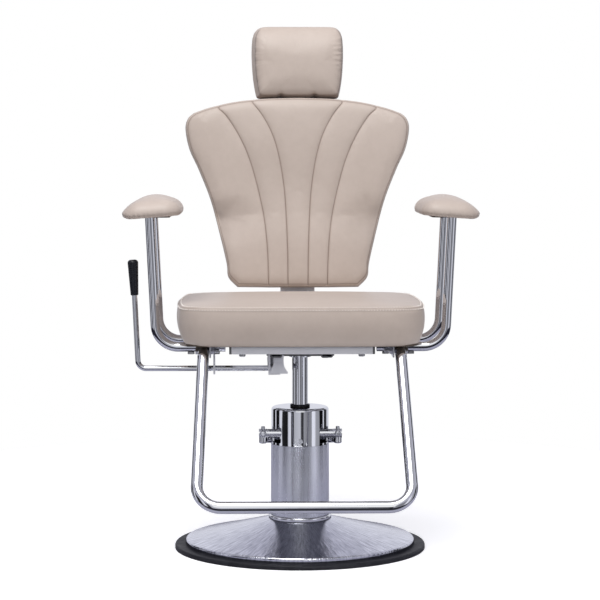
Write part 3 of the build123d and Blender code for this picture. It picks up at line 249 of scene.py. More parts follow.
def spun_chrome():
    """Chromed spun steel: radial streaks from the polishing wheel over faint turning rings."""
    shader = Shader("spun_chrome", (0.82, 0.83, 0.87), metallic=1.0, roughness=0.07)
    x, y, _ = shader.split(shader.place)
    angle = shader.math("ARCTAN2", y, x)
    square = shader.math("ADD", shader.math("MULTIPLY", x, x), shader.math("MULTIPLY", y, y))
    radius = shader.math("SQRT", square)
    polar = shader.new("CombineXYZ")
    shader.link(shader.math("MULTIPLY", angle, 4.5), polar.inputs["X"])
    shader.link(shader.math("MULTIPLY", radius, 3.0), polar.inputs["Y"])
    streaks = shader.noise(9.0, 4.0, 0.6, polar.outputs["Vector"])
    rings = shader.noise(1.0, 2.0, 0.5, shader.stretched((1.0, 1.0, 900.0)))
    normal = shader.bump(streaks, 0.14, 0.004)
    normal = shader.bump(rings, 0.05, 0.0004, normal)
    shader.drive("Normal", normal)
    shader.drive("Roughness", shader.ramp(streaks, 0.3, 0.7, 0.02, 0.07))
    color = shader.mix(shader.ramp(streaks, 0.35, 0.65), (0.50, 0.51, 0.58), (0.86, 0.87, 0.94))
    shader.drive("Base Color", color)
    return shader.material


def satin_sleeve():
    """Satin drawn tube with fine upright brushing."""
    shader = Shader("satin_sleeve", (0.60, 0.61, 0.68), metallic=1.0, roughness=0.30)
    brushed = shader.noise(1.0, 4.0, 0.6, shader.stretched((520.0, 520.0, 7.0)))
    cloud = shader.noise(12.0, 4.0, 0.6)
    shader.drive("Base Color", shader.mix(cloud, (0.84, 0.86, 0.96), (0.95, 0.96, 1.0)))
    shader.drive("Roughness", shader.ramp(brushed, 0.3, 0.7, 0.24, 0.36))
    shader.drive("Normal", shader.bump(brushed, 0.12, 0.0002))
    shader.set("Anisotropic", 0.4)
    return shader.material


def satin_plate(name, dark, light, rough=(0.28, 0.42), grain=(60.0, 60.0, 60.0), metallic=1.0):
    """Plated or bare sheet steel with a rolled grain and small stains."""
    shader = Shader(name, light, metallic=metallic, roughness=0.35)
    grainy = shader.noise(1.0, 5.0, 0.65, shader.stretched(grain))
    stain = shader.noise(22.0, 5.0, 0.6)
    shader.drive("Base Color", shader.mix(stain, dark, light))
    shader.drive("Roughness", shader.ramp(grainy, 0.3, 0.7, *rough))
    shader.drive("Normal", shader.bump(grainy, 0.08, 0.0002))
    return shader.material


def rubber():
    """Black moulded rubber, dusty in its pores."""
    clean, dusty = (0.010, 0.010, 0.014), (0.022, 0.022, 0.028)
    shader = Shader("moulded_rubber", clean, roughness=0.55)
    dust = shader.noise(40.0, 6.0, 0.65)
    shader.drive("Base Color", shader.mix(shader.ramp(dust, 0.4, 0.7), clean, dusty))
    shader.drive("Roughness", shader.ramp(dust, 0.3, 0.7, 0.42, 0.62))
    shader.drive("Normal", shader.bump(shader.noise(900.0, 3.0), 0.15, 0.0003))
    shader.set("Specular IOR Level", 0.25)
    return shader.material


def grip_plastic():
    """Black moulded grip with a fine leathery texture and a low shine."""
    shader = Shader("grip_plastic", (0.007, 0.008, 0.012), roughness=0.30)
    shader.drive("Normal", shader.bump(shader.cells(900.0), 0.25, 0.0002))
    shader.drive("Roughness", shader.ramp(shader.noise(70.0, 4.0), 0.3, 0.7, 0.20, 0.34))
    return shader.material


def frame_paint():
    """Black stove enamel with a faint orange peel and greyed edges."""
    shader = Shader("frame_paint", (0.022, 0.023, 0.026), roughness=0.36)
    peel = shader.noise(420.0, 2.0)
    worn = shader.ramp(shader.wear(), 0.54, 0.62, 0.0, 0.6)
    shader.drive("Base Color", shader.mix(worn, (0.022, 0.023, 0.026), (0.16, 0.16, 0.17)))
    shader.drive("Normal", shader.bump(peel, 0.10, 0.0003))
    return shader.material


def plywood():
    """Dark-stained birch plywood, with grain along X."""
    shader = Shader("stained_plywood", (0.09, 0.065, 0.045), roughness=0.6)
    grain = shader.noise(1.0, 6.0, 0.6, shader.stretched((6.0, 160.0, 160.0)))
    shader.drive("Base Color", shader.mix(grain, (0.06, 0.045, 0.035), (0.12, 0.09, 0.065)))
    shader.drive("Normal", shader.bump(grain, 0.2, 0.0003))
    return shader.material


def bronze():
    """Turned bearing bronze, darkened by oil, with its turning rings round Z."""
    rings = (30.0, 30.0, 800.0)
    return satin_plate("turned_bronze", (0.05, 0.045, 0.04), (0.10, 0.09, 0.08), (0.22, 0.36), rings)


# ---------------------------------------------------------------- curves ----
CURVE_STEPS = 24


def curve_through(points, count):
    """Points evenly spaced along a Catmull-Rom curve through the given 2-D points."""
    given = np.array(points, float)
    ends = np.vstack([2 * given[0] - given[1], given, 2 * given[-1] - given[-2]])
    dense = []
    for i in range(1, len(ends) - 2):
        p0, p1, p2, p3 = ends[i - 1 : i + 3]
        linear = p2 - p0
        square = 2 * p0 - 5 * p1 + 4 * p2 - p3
        cubic = 3 * p1 - p0 - 3 * p2 + p3
        for t in np.linspace(0, 1, CURVE_STEPS, endpoint=False):
            dense.append(0.5 * (2 * p1 + linear * t + square * t**2 + cubic * t**3))
    dense.append(given[-1])
    dense = np.array(dense)
    length = run_along(dense)
    even = np.linspace(0, length[-1], count)
    return np.stack([np.interp(even, length, dense[:, k]) for k in range(dense.shape[1])], axis=1)


def hill(value, centre, width):
    """A smooth bump, 1 at its centre."""
    return np.exp(-(((value - centre) / width) ** 2))


def run_along(path):
    """How far along a path each of its points lies."""
    return np.concatenate([[0], np.cumsum(np.linalg.norm(np.diff(path, axis=0), axis=1))])


# ---------------------------------------------------------------- meshes ----
def boundary(rows, columns):
    """Grid indices round the edge of a grid, anticlockwise from its first corner."""
    edge = [(0, j) for j in range(columns)]
    edge += [(i, columns - 1) for i in range(1, rows)]
    edge += [(rows - 1, j) for j in range(columns - 2, -1, -1)]
    edge += [(i, 0) for i in range(rows - 2, 0, -1)]
    return edge


def make_piece(name, points, faces, material):
    """A smooth-shaded mesh with one material."""
    mesh = bpy.data.meshes.new(name)
    mesh.from_pydata([tuple(p) for p in points], [], faces)
    mesh.validate()
    mesh.materials.append(material)
    mesh.polygons.foreach_set("use_smooth", [True] * len(mesh.polygons))
    piece = bpy.data.objects.new(name, mesh)
    bpy.context.collection.objects.link(piece)
    return piece


def set_painted_shade(piece, values):
    """Stores the painted shade of each point, in seams and under edges, for the leather to darken by."""
    layer = piece.data.attributes.new("painted_shade", "FLOAT", "POINT")
    layer.data.foreach_set("value", np.asarray(values, dtype=np.float32))


def closed_form(front, back, rings):
    """Points and faces of a closed cushion: a front grid, rings round its side, a back grid."""
    rows, columns = front.shape[:2]
    edge = boundary(rows, columns)
    front_index = np.arange(rows * columns).reshape(rows, columns)
    start = rows * columns
    ring_index = []
    points = [front.reshape(-1, 3)]
    for ring in rings:
        ring_index.append(np.arange(start, start + len(edge)))
        points.append(ring)
        start += len(edge)
    back_index = np.arange(start, start + rows * columns).reshape(rows, columns)
    points.append(back.reshape(-1, 3))
    faces = []
    for i in range(rows - 1):
        for j in range(columns - 1):
            a, b, c, d = (i, j), (i, j + 1), (i + 1, j + 1), (i + 1, j)
            faces.append(tuple(int(front_index[k]) for k in (a, b, c, d)))
            faces.append(tuple(int(back_index[k]) for k in (d, c, b, a)))
    front_edge, back_edge = (np.array([index[k] for k in edge]) for index in (front_index, back_index))
    loops = [front_edge, *ring_index, back_edge]
    for first, second in zip(loops[:-1], loops[1:]):
        corners = (first, second, np.roll(second, -1), np.roll(first, -1))
        for k in range(len(edge)):
            faces.append(tuple(int(corner[k]) for corner in corners))
    return np.vstack(points), faces


def on_rings(point_count, first, values):
    """Values for a closed form's rings, one array for each, and zero for its other points."""
    spread = np.zeros(point_count)
    rings = np.concatenate(values)
    spread[first : first + len(rings)] = rings
    return spread


def spaced(count, ends):
    """Numbers from 0 to 1, closer together towards both ends."""
    even = np.linspace(0, 1, count)
    return (1 - ends) * even + ends * (1 - np.cos(np.pi * even)) / 2


def patch(bottom, right, top, left):
    """A Coons patch: 2-D points filling four edge curves.  Opposite edges run the same way."""
    u = np.linspace(0, 1, len(bottom))[None, :, None]
    v = np.linspace(0, 1, len(right))[:, None, None]
    ruled_v = (1 - v) * bottom[None] + v * top[None]
    ruled_u = (1 - u) * left[:, None] + u * right[:, None]
    foot_corners = (1 - u) * (1 - v) * bottom[0] + u * (1 - v) * bottom[-1]
    top_corners = (1 - u) * v * top[0] + u * v * top[-1]
    return ruled_v + ruled_u - foot_corners - top_corners


ARC_POINTS = 7
SIDE_POINTS = 9


def rounded_rectangle(half, radius, columns, rows, bows):
    """Edge curves of a rounded rectangle, split in the middle of its corners.

    half is half its width and length, and bows is how far its sides and its ends bow out.
    """

    def side(reach, across, steps, bow):
        arc = []
        for turn in np.linspace(math.pi / 4, 0, ARC_POINTS):
            arc.append((-reach - radius * math.sin(turn), across - radius * (1 - math.cos(turn))))
        middle = [(t * reach, across + bow * (1 - t * t)) for t in np.linspace(-1, 1, SIDE_POINTS)[1:-1]]
        return curve_through(arc + middle + [(-x, y) for x, y in reversed(arc)], steps)

    half_x, half_y = half
    top = side(half_x - radius, half_y, columns, bows[1])
    bottom = top * [1, -1]
    right = side(half_y - radius, half_x, rows, bows[0])[:, ::-1]
    left = right * [-1, 1]
    return bottom, right, top, left


def fractions(rows, columns):
    """Grid parameters from -1 to 1 across and up."""
    u = np.linspace(-1, 1, columns)[None, :] * np.ones((rows, 1))
    v = np.linspace(-1, 1, rows)[:, None] * np.ones((1, columns))
    return u, v


STITCH_PITCH = 6.2 * MM
STITCH_LENGTH = 2.6 * MM
STITCH_RADIUS = 1.15 * MM
STITCH_STANDS_OUT = 0.35 * MM
STITCH_SIDES = 6
LOOK_AHEAD = 1.0 * MM

# A stitch's rings: place along its length, share of its radius, and rise in radii.
STITCH_RINGS = [(-0.5, 0.35, -0.5), (-0.32, 1.0, 0.1), (0.0, 1.15, 0.35), (0.32, 1.0, 0.1), (0.5, 0.35, -0.5)]


def stitches(name, path, normals, material):
    """A row of separate stitches along a closed path, each a small tapered bar of thread."""
    closed = np.vstack([path, path[:1]])
    closed_normals = np.vstack([normals, normals[:1]])
    run = run_along(closed)

    def at(distance, rows):
        return np.array([np.interp(distance, run, rows[:, axis]) for axis in range(3)])

    points, faces = [], []
    for k in range(int(run[-1] / STITCH_PITCH)):
        middle = (k + 0.5) * STITCH_PITCH
        centre = at(middle, closed)
        ahead = at(middle + LOOK_AHEAD, closed) - centre
        ahead /= np.linalg.norm(ahead)
        up = at(middle, closed_normals)
        up -= ahead * up.dot(ahead)
        up /= np.linalg.norm(up)
        across = np.cross(ahead, up)
        base = len(points)
        for along, width, rise in STITCH_RINGS:
            spot = centre + ahead * along * STITCH_LENGTH + up * rise * STITCH_RADIUS
            for side in range(STITCH_SIDES):
                turn = 2 * math.pi * side / STITCH_SIDES
                out = across * math.cos(turn) + up * math.sin(turn)
                points.append(spot + out * STITCH_RADIUS * width)
        last = base + (len(STITCH_RINGS) - 1) * STITCH_SIDES
        for ring in range(base, last, STITCH_SIDES):
            for side in range(STITCH_SIDES):
                a, b = ring + side, ring + (side + 1) % STITCH_SIDES
                faces.append((a, b, b + STITCH_SIDES, a + STITCH_SIDES))
        faces.append(tuple(base + side for side in reversed(range(STITCH_SIDES))))
        faces.append(tuple(last + side for side in range(STITCH_SIDES)))
    return make_piece(name, points, faces, material)


# --------------------------------------------------------------- cushions ---
class Pad:
    """A padded form's own plane: x and y across it and h out of its face, in millimetres."""

    def __init__(self, origin, lean=None):
        self.origin = np.array(origin, float)
        self.x_axis = np.array([1.0, 0.0, 0.0])
        if lean is None:
            self.y_axis = np.array([0.0, 1.0, 0.0])
            self.h_axis = np.array([0.0, 0.0, 1.0])
        else:
            self.y_axis = np.array([0.0, math.sin(lean), math.cos(lean)])
            self.h_axis = np.array([0.0, -math.cos(lean), math.sin(lean)])

    def world(self, local):
        """Local millimetres to the frame's metres."""
        local = np.asarray(local, float)
        spot = self.origin + local[..., :1] * self.x_axis + local[..., 1:2] * self.y_axis
        return (spot + local[..., 2:3] * self.h_axis) * MM


def flat_loop(edges):
    """The closed outline of four edge curves, in the order of a grid's boundary."""
    bottom, right, top, left = edges
    return np.vstack([bottom, right[1:], top[::-1][1:], left[::-1][1:-1]])


def lift(loop, height):
    """A 2-D loop raised to a height, or to a height for each point."""
    return np.column_stack([loop, np.broadcast_to(height, len(loop))])


CLOTH_FRAMES = 14
CLOTH_PRESSURE = 4.0
TINY = 1e-9


def inflate(piece, pinned, cap):
    """Blows the cover up with a cloth simulation, held where it is sewn, and never further than cap."""
    group = piece.vertex_groups.new(name="sewn")
    group.add([int(k) for k in pinned], 1.0, "REPLACE")
    cloth = piece.modifiers.new("cover", "CLOTH")
    settings = cloth.settings
    settings.quality = 5
    settings.mass = 0.35
    settings.use_pressure = True
    settings.uniform_pressure_force = CLOTH_PRESSURE
    settings.tension_stiffness = 12.0
    settings.compression_stiffness = 12.0
    settings.shear_stiffness = 6.0
    settings.bending_stiffness = 0.6
    settings.vertex_group_mass = "sewn"
    settings.effector_weights.gravity = 0.0
    cloth.collision_settings.use_collision = False
    cloth.point_cache.frame_start = 1
    cloth.point_cache.frame_end = CLOTH_FRAMES
    scene = bpy.context.scene
    for frame_number in range(1, CLOTH_FRAMES + 1):
        scene.frame_set(frame_number)
    evaluated = piece.evaluated_get(bpy.context.evaluated_depsgraph_get())
    count = len(piece.data.vertices)
    before, after = np.empty(count * 3), np.empty(count * 3)
    piece.data.vertices.foreach_get("co", before)
    evaluated.data.vertices.foreach_get("co", after)
    before, after = before.reshape(-1, 3), after.reshape(-1, 3)
    piece.modifiers.remove(cloth)
    move = after - before
    size = np.linalg.norm(move, axis=1)
    capped = cap * np.tanh(size / cap)
    move *= (capped / np.maximum(size, TINY))[:, None]
    piece.data.vertices.foreach_set("co", (before + move).ravel())
    piece.data.update()
    scene.frame_set(1)


def upholster(piece, node, body):
    """The last steps for a cushion: one subdivision, what it stands for and what it rides on."""
    modifier = piece.modifiers.new("smooth", "SUBSURF")
    modifier.levels = 1
    modifier.render_levels = 1
    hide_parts(node)
    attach(piece, body)


def rear_panel(name, pad, form, node, body):
    """A leather-covered board behind a cushion, with no seams."""
    points, faces = closed_form(*form)
    piece = make_piece(name, pad.world(points), faces, LEATHER)
    set_painted_shade(piece, np.zeros(len(points)))
    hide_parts(node)
    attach(piece, body)


# The seat cushion's numbers, in millimetres.
SEAT_HALF = (265.0, 233.0)
SEAT_BOWS = (8.0, 3.0)
SEAT_MIDDLE_Y = -5.0
SEAT_CORNER = 74.0
SEAT_LEAST_CORNER = 20.0
SEAT_UNDERSIDE = 470.0
SEAT_SEAM = 84.0
SEAT_CROWN = 8.0
SEAT_COLUMNS, SEAT_ROWS = 61, 53
# The painted seam shade of the sewn ring, which also picks that ring out to be held.
SEWN = 0.5

# The seat's side, as (drawn in from the outline, above the seam, painted shade in the seams and under the
# lower edge).
SEAT_PROFILE = [
    (30.0, 1.7, 0.0),
    (26.0, 1.6, 0.0),
    (22.0, 1.5, 0.0),
    (18.0, 1.3, 0.0),
    (14.5, 1.1, 0.0),
    (11.5, 0.9, 0.0),
    (8.6, 0.7, 0.30),
    (6.4, 0.4, 0.0),
    (4.6, -0.4, SEWN),
    (3.6, -2.2, 0.0),
    (2.6, -4.6, 0.30),
    (1.7, -8.5, 0.0),
    (0.7, -16.0, 0.0),
    (0.1, -25.0, 0.0),
    (0.0, -35.0, 0.0),
    (0.9, -45.0, 0.0),
    (3.0, -54.0, 0.0),
    (6.0, -66.5, 0.0),
    (9.8, -75.0, 0.0),
    (13.5, -80.5, 0.15),
    (17.0, -83.6, 0.6),
]
SEAT_STAPLED_RING = 18
SEAT_STITCH_RINGS = {"upper": 6, "lower": 10}

# The folds at the seat's front corners: where they lie and how far they reach.
FOLD_X, FOLD_Y, FOLD_REACH = 232.0, -205.0, 26.0
FOLD_TURNS_ROUND = (198.0, -165.0)


def seat_edges(inset):
    half = (SEAT_HALF[0] - inset, SEAT_HALF[1] - inset)
    corner = max(SEAT_CORNER - inset, SEAT_LEAST_CORNER)
    return rounded_rectangle(half, corner, SEAT_COLUMNS, SEAT_ROWS, SEAT_BOWS)


def seat_cushion():
    """A boxed seat: a crowned top, a bulging border, and a twice-stitched seam between them."""
    pad = Pad((0.0, SEAT_MIDDLE_Y, SEAT_UNDERSIDE))
    u, v = fractions(SEAT_ROWS, SEAT_COLUMNS)
    dome = (1 - np.abs(u) ** 2.2) * (1 - np.abs(v) ** 2.6)
    front = np.dstack([patch(*seat_edges(34.0)), SEAT_SEAM + 1.8 + SEAT_CROWN * dome])
    outline = flat_loop(seat_edges(0.0))
    x, y = np.abs(outline[:, 0]), outline[:, 1]
    turn = np.arctan2(y - FOLD_TURNS_ROUND[1], x - FOLD_TURNS_ROUND[0])
    deeper = np.where(outline[:, 0] > 0, 1.8, 0.7)
    corner = hill(x, FOLD_X, FOLD_REACH) * hill(y, FOLD_Y, FOLD_REACH) * deeper
    rings = []
    for inset, rise, _ in SEAT_PROFILE:
        ring = lift(flat_loop(seat_edges(inset)), SEAT_SEAM + rise)
        fold = corner * (1.0 + 0.5 * np.sin(turn * 3.0)) * hill(rise, 0.0, 16.0)
        if inset > 5.0 and rise > 0.0:
            ring[:, 2] += fold * 1.1 * math.cos((inset - 4.6) * 0.80)
        elif rise < -2.0:
            ring[:, :2] *= (1 + fold * 0.0042 * math.cos(rise * 0.75))[:, None]
        rings.append(ring)
    back = np.dstack([patch(*seat_edges(24.0)), np.zeros_like(u)])
    points, faces = closed_form(front, back, rings)
    piece = make_piece("seat_cushion_cover", pad.world(points), faces, LEATHER)
    grid, loop_size = SEAT_ROWS * SEAT_COLUMNS, len(outline)
    # Painted shade in the seams and under the lower edge, which the leather darkens by.
    painted_shade = on_rings(len(points), grid, [np.full(loop_size, ring_shade) for _, _, ring_shade in SEAT_PROFILE])
    set_painted_shade(piece, painted_shade)
    underneath = np.arange(grid + SEAT_STAPLED_RING * loop_size, len(points))
    inflate(piece, np.concatenate([np.nonzero(painted_shade == SEWN)[0], underneath]), 4.0 * MM)
    upholster(piece, "seat_cushion", "seat")
    for label, ring in SEAT_STITCH_RINGS.items():
        start = grid + ring * loop_size
        seat_stitches(f"seat_{label}_stitches", piece, slice(start, start + loop_size))


def seat_stitches(name, piece, ring):
    """Stitches lying on the seat along a ring of its points."""
    count = len(piece.data.vertices)
    points, normals = np.empty(count * 3), np.empty(count * 3)
    piece.data.vertices.foreach_get("co", points)
    piece.data.vertex_normals.foreach_get("vector", normals)
    path = points.reshape(-1, 3)[ring]
    facing = normals.reshape(-1, 3)[ring]
    sewn = stitches(name, path + facing * STITCH_STANDS_OUT, facing, THREAD)
    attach(sewn, "seat")


# The backrest and headrest lean back together.  x runs across, y up the lean, h forward.
LEAN = math.radians(9.0)
BACK_FOOT = (0.0, 190.0, 572.0)
BACK_DEPTH = 62.0
BACK_ROWS = 87
BACK_PANEL_COLUMNS = [23, 21, 23, 21, 23]
HEAD_CURVE_POINTS = 200

# The backrest's half width and height that an inset is taken from.
BACK_HALF_WIDTH, BACK_HEIGHT = 215.0, 444.0

# Half of the backrest's outline and its sewn channels, on the +X side, as (x, y) up the lean.
BACK_SIDE = [(141, 1), (162, 24), (166, 56), (181, 121), (203, 204), (231, 276), (253, 325), (262, 372),
             (256, 396), (243, 408)]
BACK_HEAD = [(243, 408), (206, 421), (150, 434), (80, 442), (0, 444.5)]
OUTER_SEAM = [(68.3, 1), (69.6, 54), (73, 110), (80, 168), (94.4, 238), (112, 302), (134.6, 356), (163, 404),
              (184, 427)]
INNER_SEAM = [(23.2, 1), (24.4, 89), (28.5, 190), (34, 250), (44.4, 312), (58.5, 361), (80, 405), (105, 440)]


def mirrored(curve):
    return curve * [-1, 1]


def drawn_in(curve, inset):
    """A curve of the backrest's outline, moved in by about inset."""
    x = curve[:, 0] * (1 - inset / BACK_HALF_WIDTH)
    y = inset + curve[:, 1] * (1 - 2 * inset / BACK_HEIGHT)
    return np.column_stack([x, y])


def back_panels(inset):
    """The backrest's five panels as one grid, drawn in by inset, and the columns that are seams."""
    side = drawn_in(curve_through(BACK_SIDE, BACK_ROWS), inset)
    head = drawn_in(curve_through(BACK_HEAD, HEAD_CURVE_POINTS)[::-1], inset)
    outer = curve_through(OUTER_SEAM, BACK_ROWS)
    inner = curve_through(INNER_SEAM, BACK_ROWS)
    for seam in (outer, inner):
        top = np.interp(seam[-1, 0], head[:, 0], head[:, 1])
        seam[:, 1] = inset + (seam[:, 1] - seam[0, 1]) * (top - inset) / (seam[-1, 1] - seam[0, 1])
    lines = [mirrored(side), mirrored(outer), mirrored(inner), inner, outer, side]
    grids, seams, total = [], [], 0
    for left, right, count in zip(lines[:-1], lines[1:], BACK_PANEL_COLUMNS):
        share = spaced(count, 0.85)[:, None]
        foot = left[0] * (1 - share) + right[0] * share
        top = left[-1] * (1 - share) + right[-1] * share
        top[1:-1, 1] = np.interp(np.abs(top[1:-1, 0]), head[:, 0], head[:, 1])
        u = share.ravel()[None, :, None]
        v = np.linspace(0, 1, BACK_ROWS)[:, None, None]
        ruled = (1 - u) * left[:, None] + u * right[:, None]
        ends = (1 - v) * foot[None] + v * top[None]
        corners = (1 - v) * ((1 - u) * left[0] + u * right[0]) + v * ((1 - u) * left[-1] + u * right[-1])
        grid = ruled + ends - corners
        grids.append(grid if not grids else grid[:, 1:])
        total += grids[-1].shape[1]
        seams.append(total - 1)
    return np.concatenate(grids, axis=1), seams[:-1]


def back_grid(inset, height):
    """The backrest's grid, drawn in by inset, at one height."""
    plan, _ = back_panels(inset)
    return np.dstack([plan, np.full(plan.shape[:2], height)])


def back_loop(inset, height):
    """The backrest's outline, drawn in by inset, at a height or at a height for each point."""
    plan, _ = back_panels(inset)
    return lift(np.array([plan[k] for k in boundary(*plan.shape[:2])]), height)


WAIST_Y = 156.0


def back_swell(x, y):
    """How far the face stands forward of its plane: a lumbar roll, a hollow waist, a full top."""
    across = 1 - 0.55 * (np.abs(x) / 250.0) ** 2
    lumbar = 8.0 * hill(y, 112.0, 66.0)
    spread = 46.0 - 15.0 * np.tanh((y - WAIST_Y) / 24.0)
    sides = 0.08 + (0.92 - 0.25 * np.tanh(x / 60.0)) * np.clip(np.abs(x) / 185.0, 0, 1) ** 2.6
    waist = -21.0 * hill(y, WAIST_Y, spread) * sides
    shoulders = 4.0 * hill(y, 350.0, 75.0)
    return lumbar * across + waist + shoulders


FAR = 1000.0


def seam_distance(grid, seams):
    """Distance of each grid point, along its row, from the nearest sewn channel."""
    near = np.full(grid.shape[:2], FAR)
    for column in seams:
        gap = np.linalg.norm(grid - grid[:, column : column + 1], axis=2)
        near = np.minimum(near, gap)
    return near


# The backrest's side, as (drawn in from the outline, behind the face, painted shade along its seams).
BACK_PROFILE = [
    (6.6, -1.6, 0.15),
    (5.0, -3.2, 0.9),
    (4.2, -3.6, 0.1),
    (3.2, -4.6, 0.0),
    (1.4, -8.0, 0.0),
    (0.3, -15.0, 0.0),
    (0.0, -24.0, 0.0),
    (0.0, -34.0, 0.0),
    (1.0, -44.0, 0.0),
    (3.5, -52.0, 0.1),
]
BACK_CHANNEL_RINGS = 2
BACK_GUSSET_RING = 6
# Points whose painted seam shade passes this are held as sewn.
BACK_HELD_SHADE = 0.8
ROW_SPACING = 5.0


def back_cushion():
    """The channelled backrest, with a gusset round its side."""
    pad = Pad(BACK_FOOT, LEAN)
    plan, seams = back_panels(9.0)
    near = seam_distance(plan, seams)
    rows, columns = plan.shape[:2]
    row = np.arange(rows)[:, None]
    from_ends = np.minimum(row, rows - 1 - row) * ROW_SPACING
    from_sides = np.minimum(np.abs(plan[..., 0] - plan[:, :1, 0]), np.abs(plan[..., 0] - plan[:, -1:, 0]))
    puff = 2.8 * (1 - np.exp(-near / 7.0)) - 1.6 * hill(near, 0.0, 1.5)
    rim = -5.0 * np.exp(-np.minimum(from_ends, from_sides) / 9.0)
    front = np.dstack([plan, back_swell(plan[..., 0], plan[..., 1]) + puff + rim - 3.0])
    border = boundary(rows, columns)
    edge_height = np.array([front[i, j, 2] for i, j in border])
    # Painted shade where the sewn channels meet the side.
    channel_shade = 0.8 * hill(np.array([near[k] for k in border]), 0.0, 1.1)
    rings, ring_shades = [], []
    for k, (inset, drop, ring_shade) in enumerate(BACK_PROFILE):
        fade = math.exp(drop / 22.0)
        rings.append(back_loop(inset, edge_height * fade + drop - 1.5 * (1 - fade)))
        ring_shades.append(np.maximum(ring_shade, channel_shade * (k < BACK_CHANNEL_RINGS)))
    points, faces = closed_form(front, back_grid(8.0, -BACK_DEPTH + 0.5), rings)
    grid = rows * columns
    painted_shade = on_rings(len(points), grid, ring_shades)
    # Painted shade along the sewn channels across the face.
    painted_shade[:grid] = 0.95 * hill(near, 0.0, 0.9).ravel()
    piece = make_piece("back_cushion_cover", pad.world(points), faces, LEATHER)
    set_painted_shade(piece, painted_shade)
    behind = np.arange(grid + BACK_GUSSET_RING * len(border), len(points))
    inflate(piece, np.concatenate([np.nonzero(painted_shade > BACK_HELD_SHADE)[0], behind]), 2.5 * MM)
    upholster(piece, "back_cushion", "backrest")


def back_panel():
    """The board behind the backrest, its cover pulled round and tacked."""
    side = [(14.6, -62.6), (14.0, -64.5), (14.0, -69.0), (14.8, -72.0), (17.0, -73.7), (21.0, -74.6)]
    rings = [back_loop(inset, height) for inset, height in side]
    form = (back_grid(18.0, -BACK_DEPTH - 0.2), back_grid(26.0, -74.2), rings)
    rear_panel("back_rear_panel", Pad(BACK_FOOT, LEAN), form, "back_board", "backrest")


# The headrest, in the same leaning plane.
HEAD_MIDDLE_Y = 531.5
HEAD_HALF = (108.5, 86.0)
HEAD_SIDE = [(97, -83), (101, -66), (105.5, -36), (108, 0), (108.5, 28), (107, 55), (103, 71)]
HEAD_TOP = [(-103, 71), (-95, 80.5), (-82, 85), (-40, 86), (0, 86), (40, 86), (82, 85), (95, 80.5), (103, 71)]
HEAD_FOOT = [(-97, -83), (-89, -86), (-40, -86), (0, -86), (40, -86), (89, -86), (97, -83)]
HEAD_DEPTH = 61.0
HEAD_COLUMNS, HEAD_ROWS = 49, 41

# The headrest's side, as (drawn in from the outline, behind the face, painted shade in the side seam).
HEAD_PROFILE = [
    (19.0, -2.6, 0.0),
    (12.5, -5.0, 0.0),
    (7.0, -9.0, 0.0),
    (4.0, -13.4, 0.1),
    (2.9, -16.4, 0.95),
    (1.8, -19.4, 0.1),
    (0.5, -26.0, 0.0),
    (0.0, -35.0, 0.0),
    (0.4, -45.0, 0.0),
    (2.4, -53.0, 0.0),
    (6.5, -59.0, 0.1),
]
# Rings that carry the painted shadow under the headrest's foot.
HEAD_UNDERSIDE_SHADE_RINGS = range(3, 9)
HEAD_HELD_RING = 9
# Points whose painted seam shade passes this are held as sewn.
HEAD_HELD_SHADE = 0.6
POST_X = 39.0


def head_pad():
    """The headrest's plane, up the lean from the backrest's foot."""
    x, y, z = BACK_FOOT
    return Pad((x, y + HEAD_MIDDLE_Y * math.sin(LEAN), z + HEAD_MIDDLE_Y * math.cos(LEAN)), LEAN)


def head_edges(inset):
    """Edge curves of the headrest, narrower and squarer at the foot than at the top."""
    side = curve_through(HEAD_SIDE, HEAD_ROWS)
    top = curve_through(HEAD_TOP, HEAD_COLUMNS)
    foot = curve_through(HEAD_FOOT, HEAD_COLUMNS)
    shrink = 1 - inset / np.array(HEAD_HALF)
    return foot * shrink, side * shrink, top * shrink, mirrored(side) * shrink


def head_wrap(y):
    """How far the headrest's face rolls back towards its top and, less, its foot."""
    over = np.clip((y - 8.0) / 78.0, 0, 1)
    under = np.clip((-y - 40.0) / 46.0, 0, 1)
    return -26.0 * over**2.4 - 1.5 * under**2


def head_skew(x, height):
    """The face sits a little to one side, so its side panel shows on the sitter's right."""
    return 7.0 * np.clip(-x / 100.0, 0, 1) * np.clip((46.0 + height) / 20.0, 0, 1)


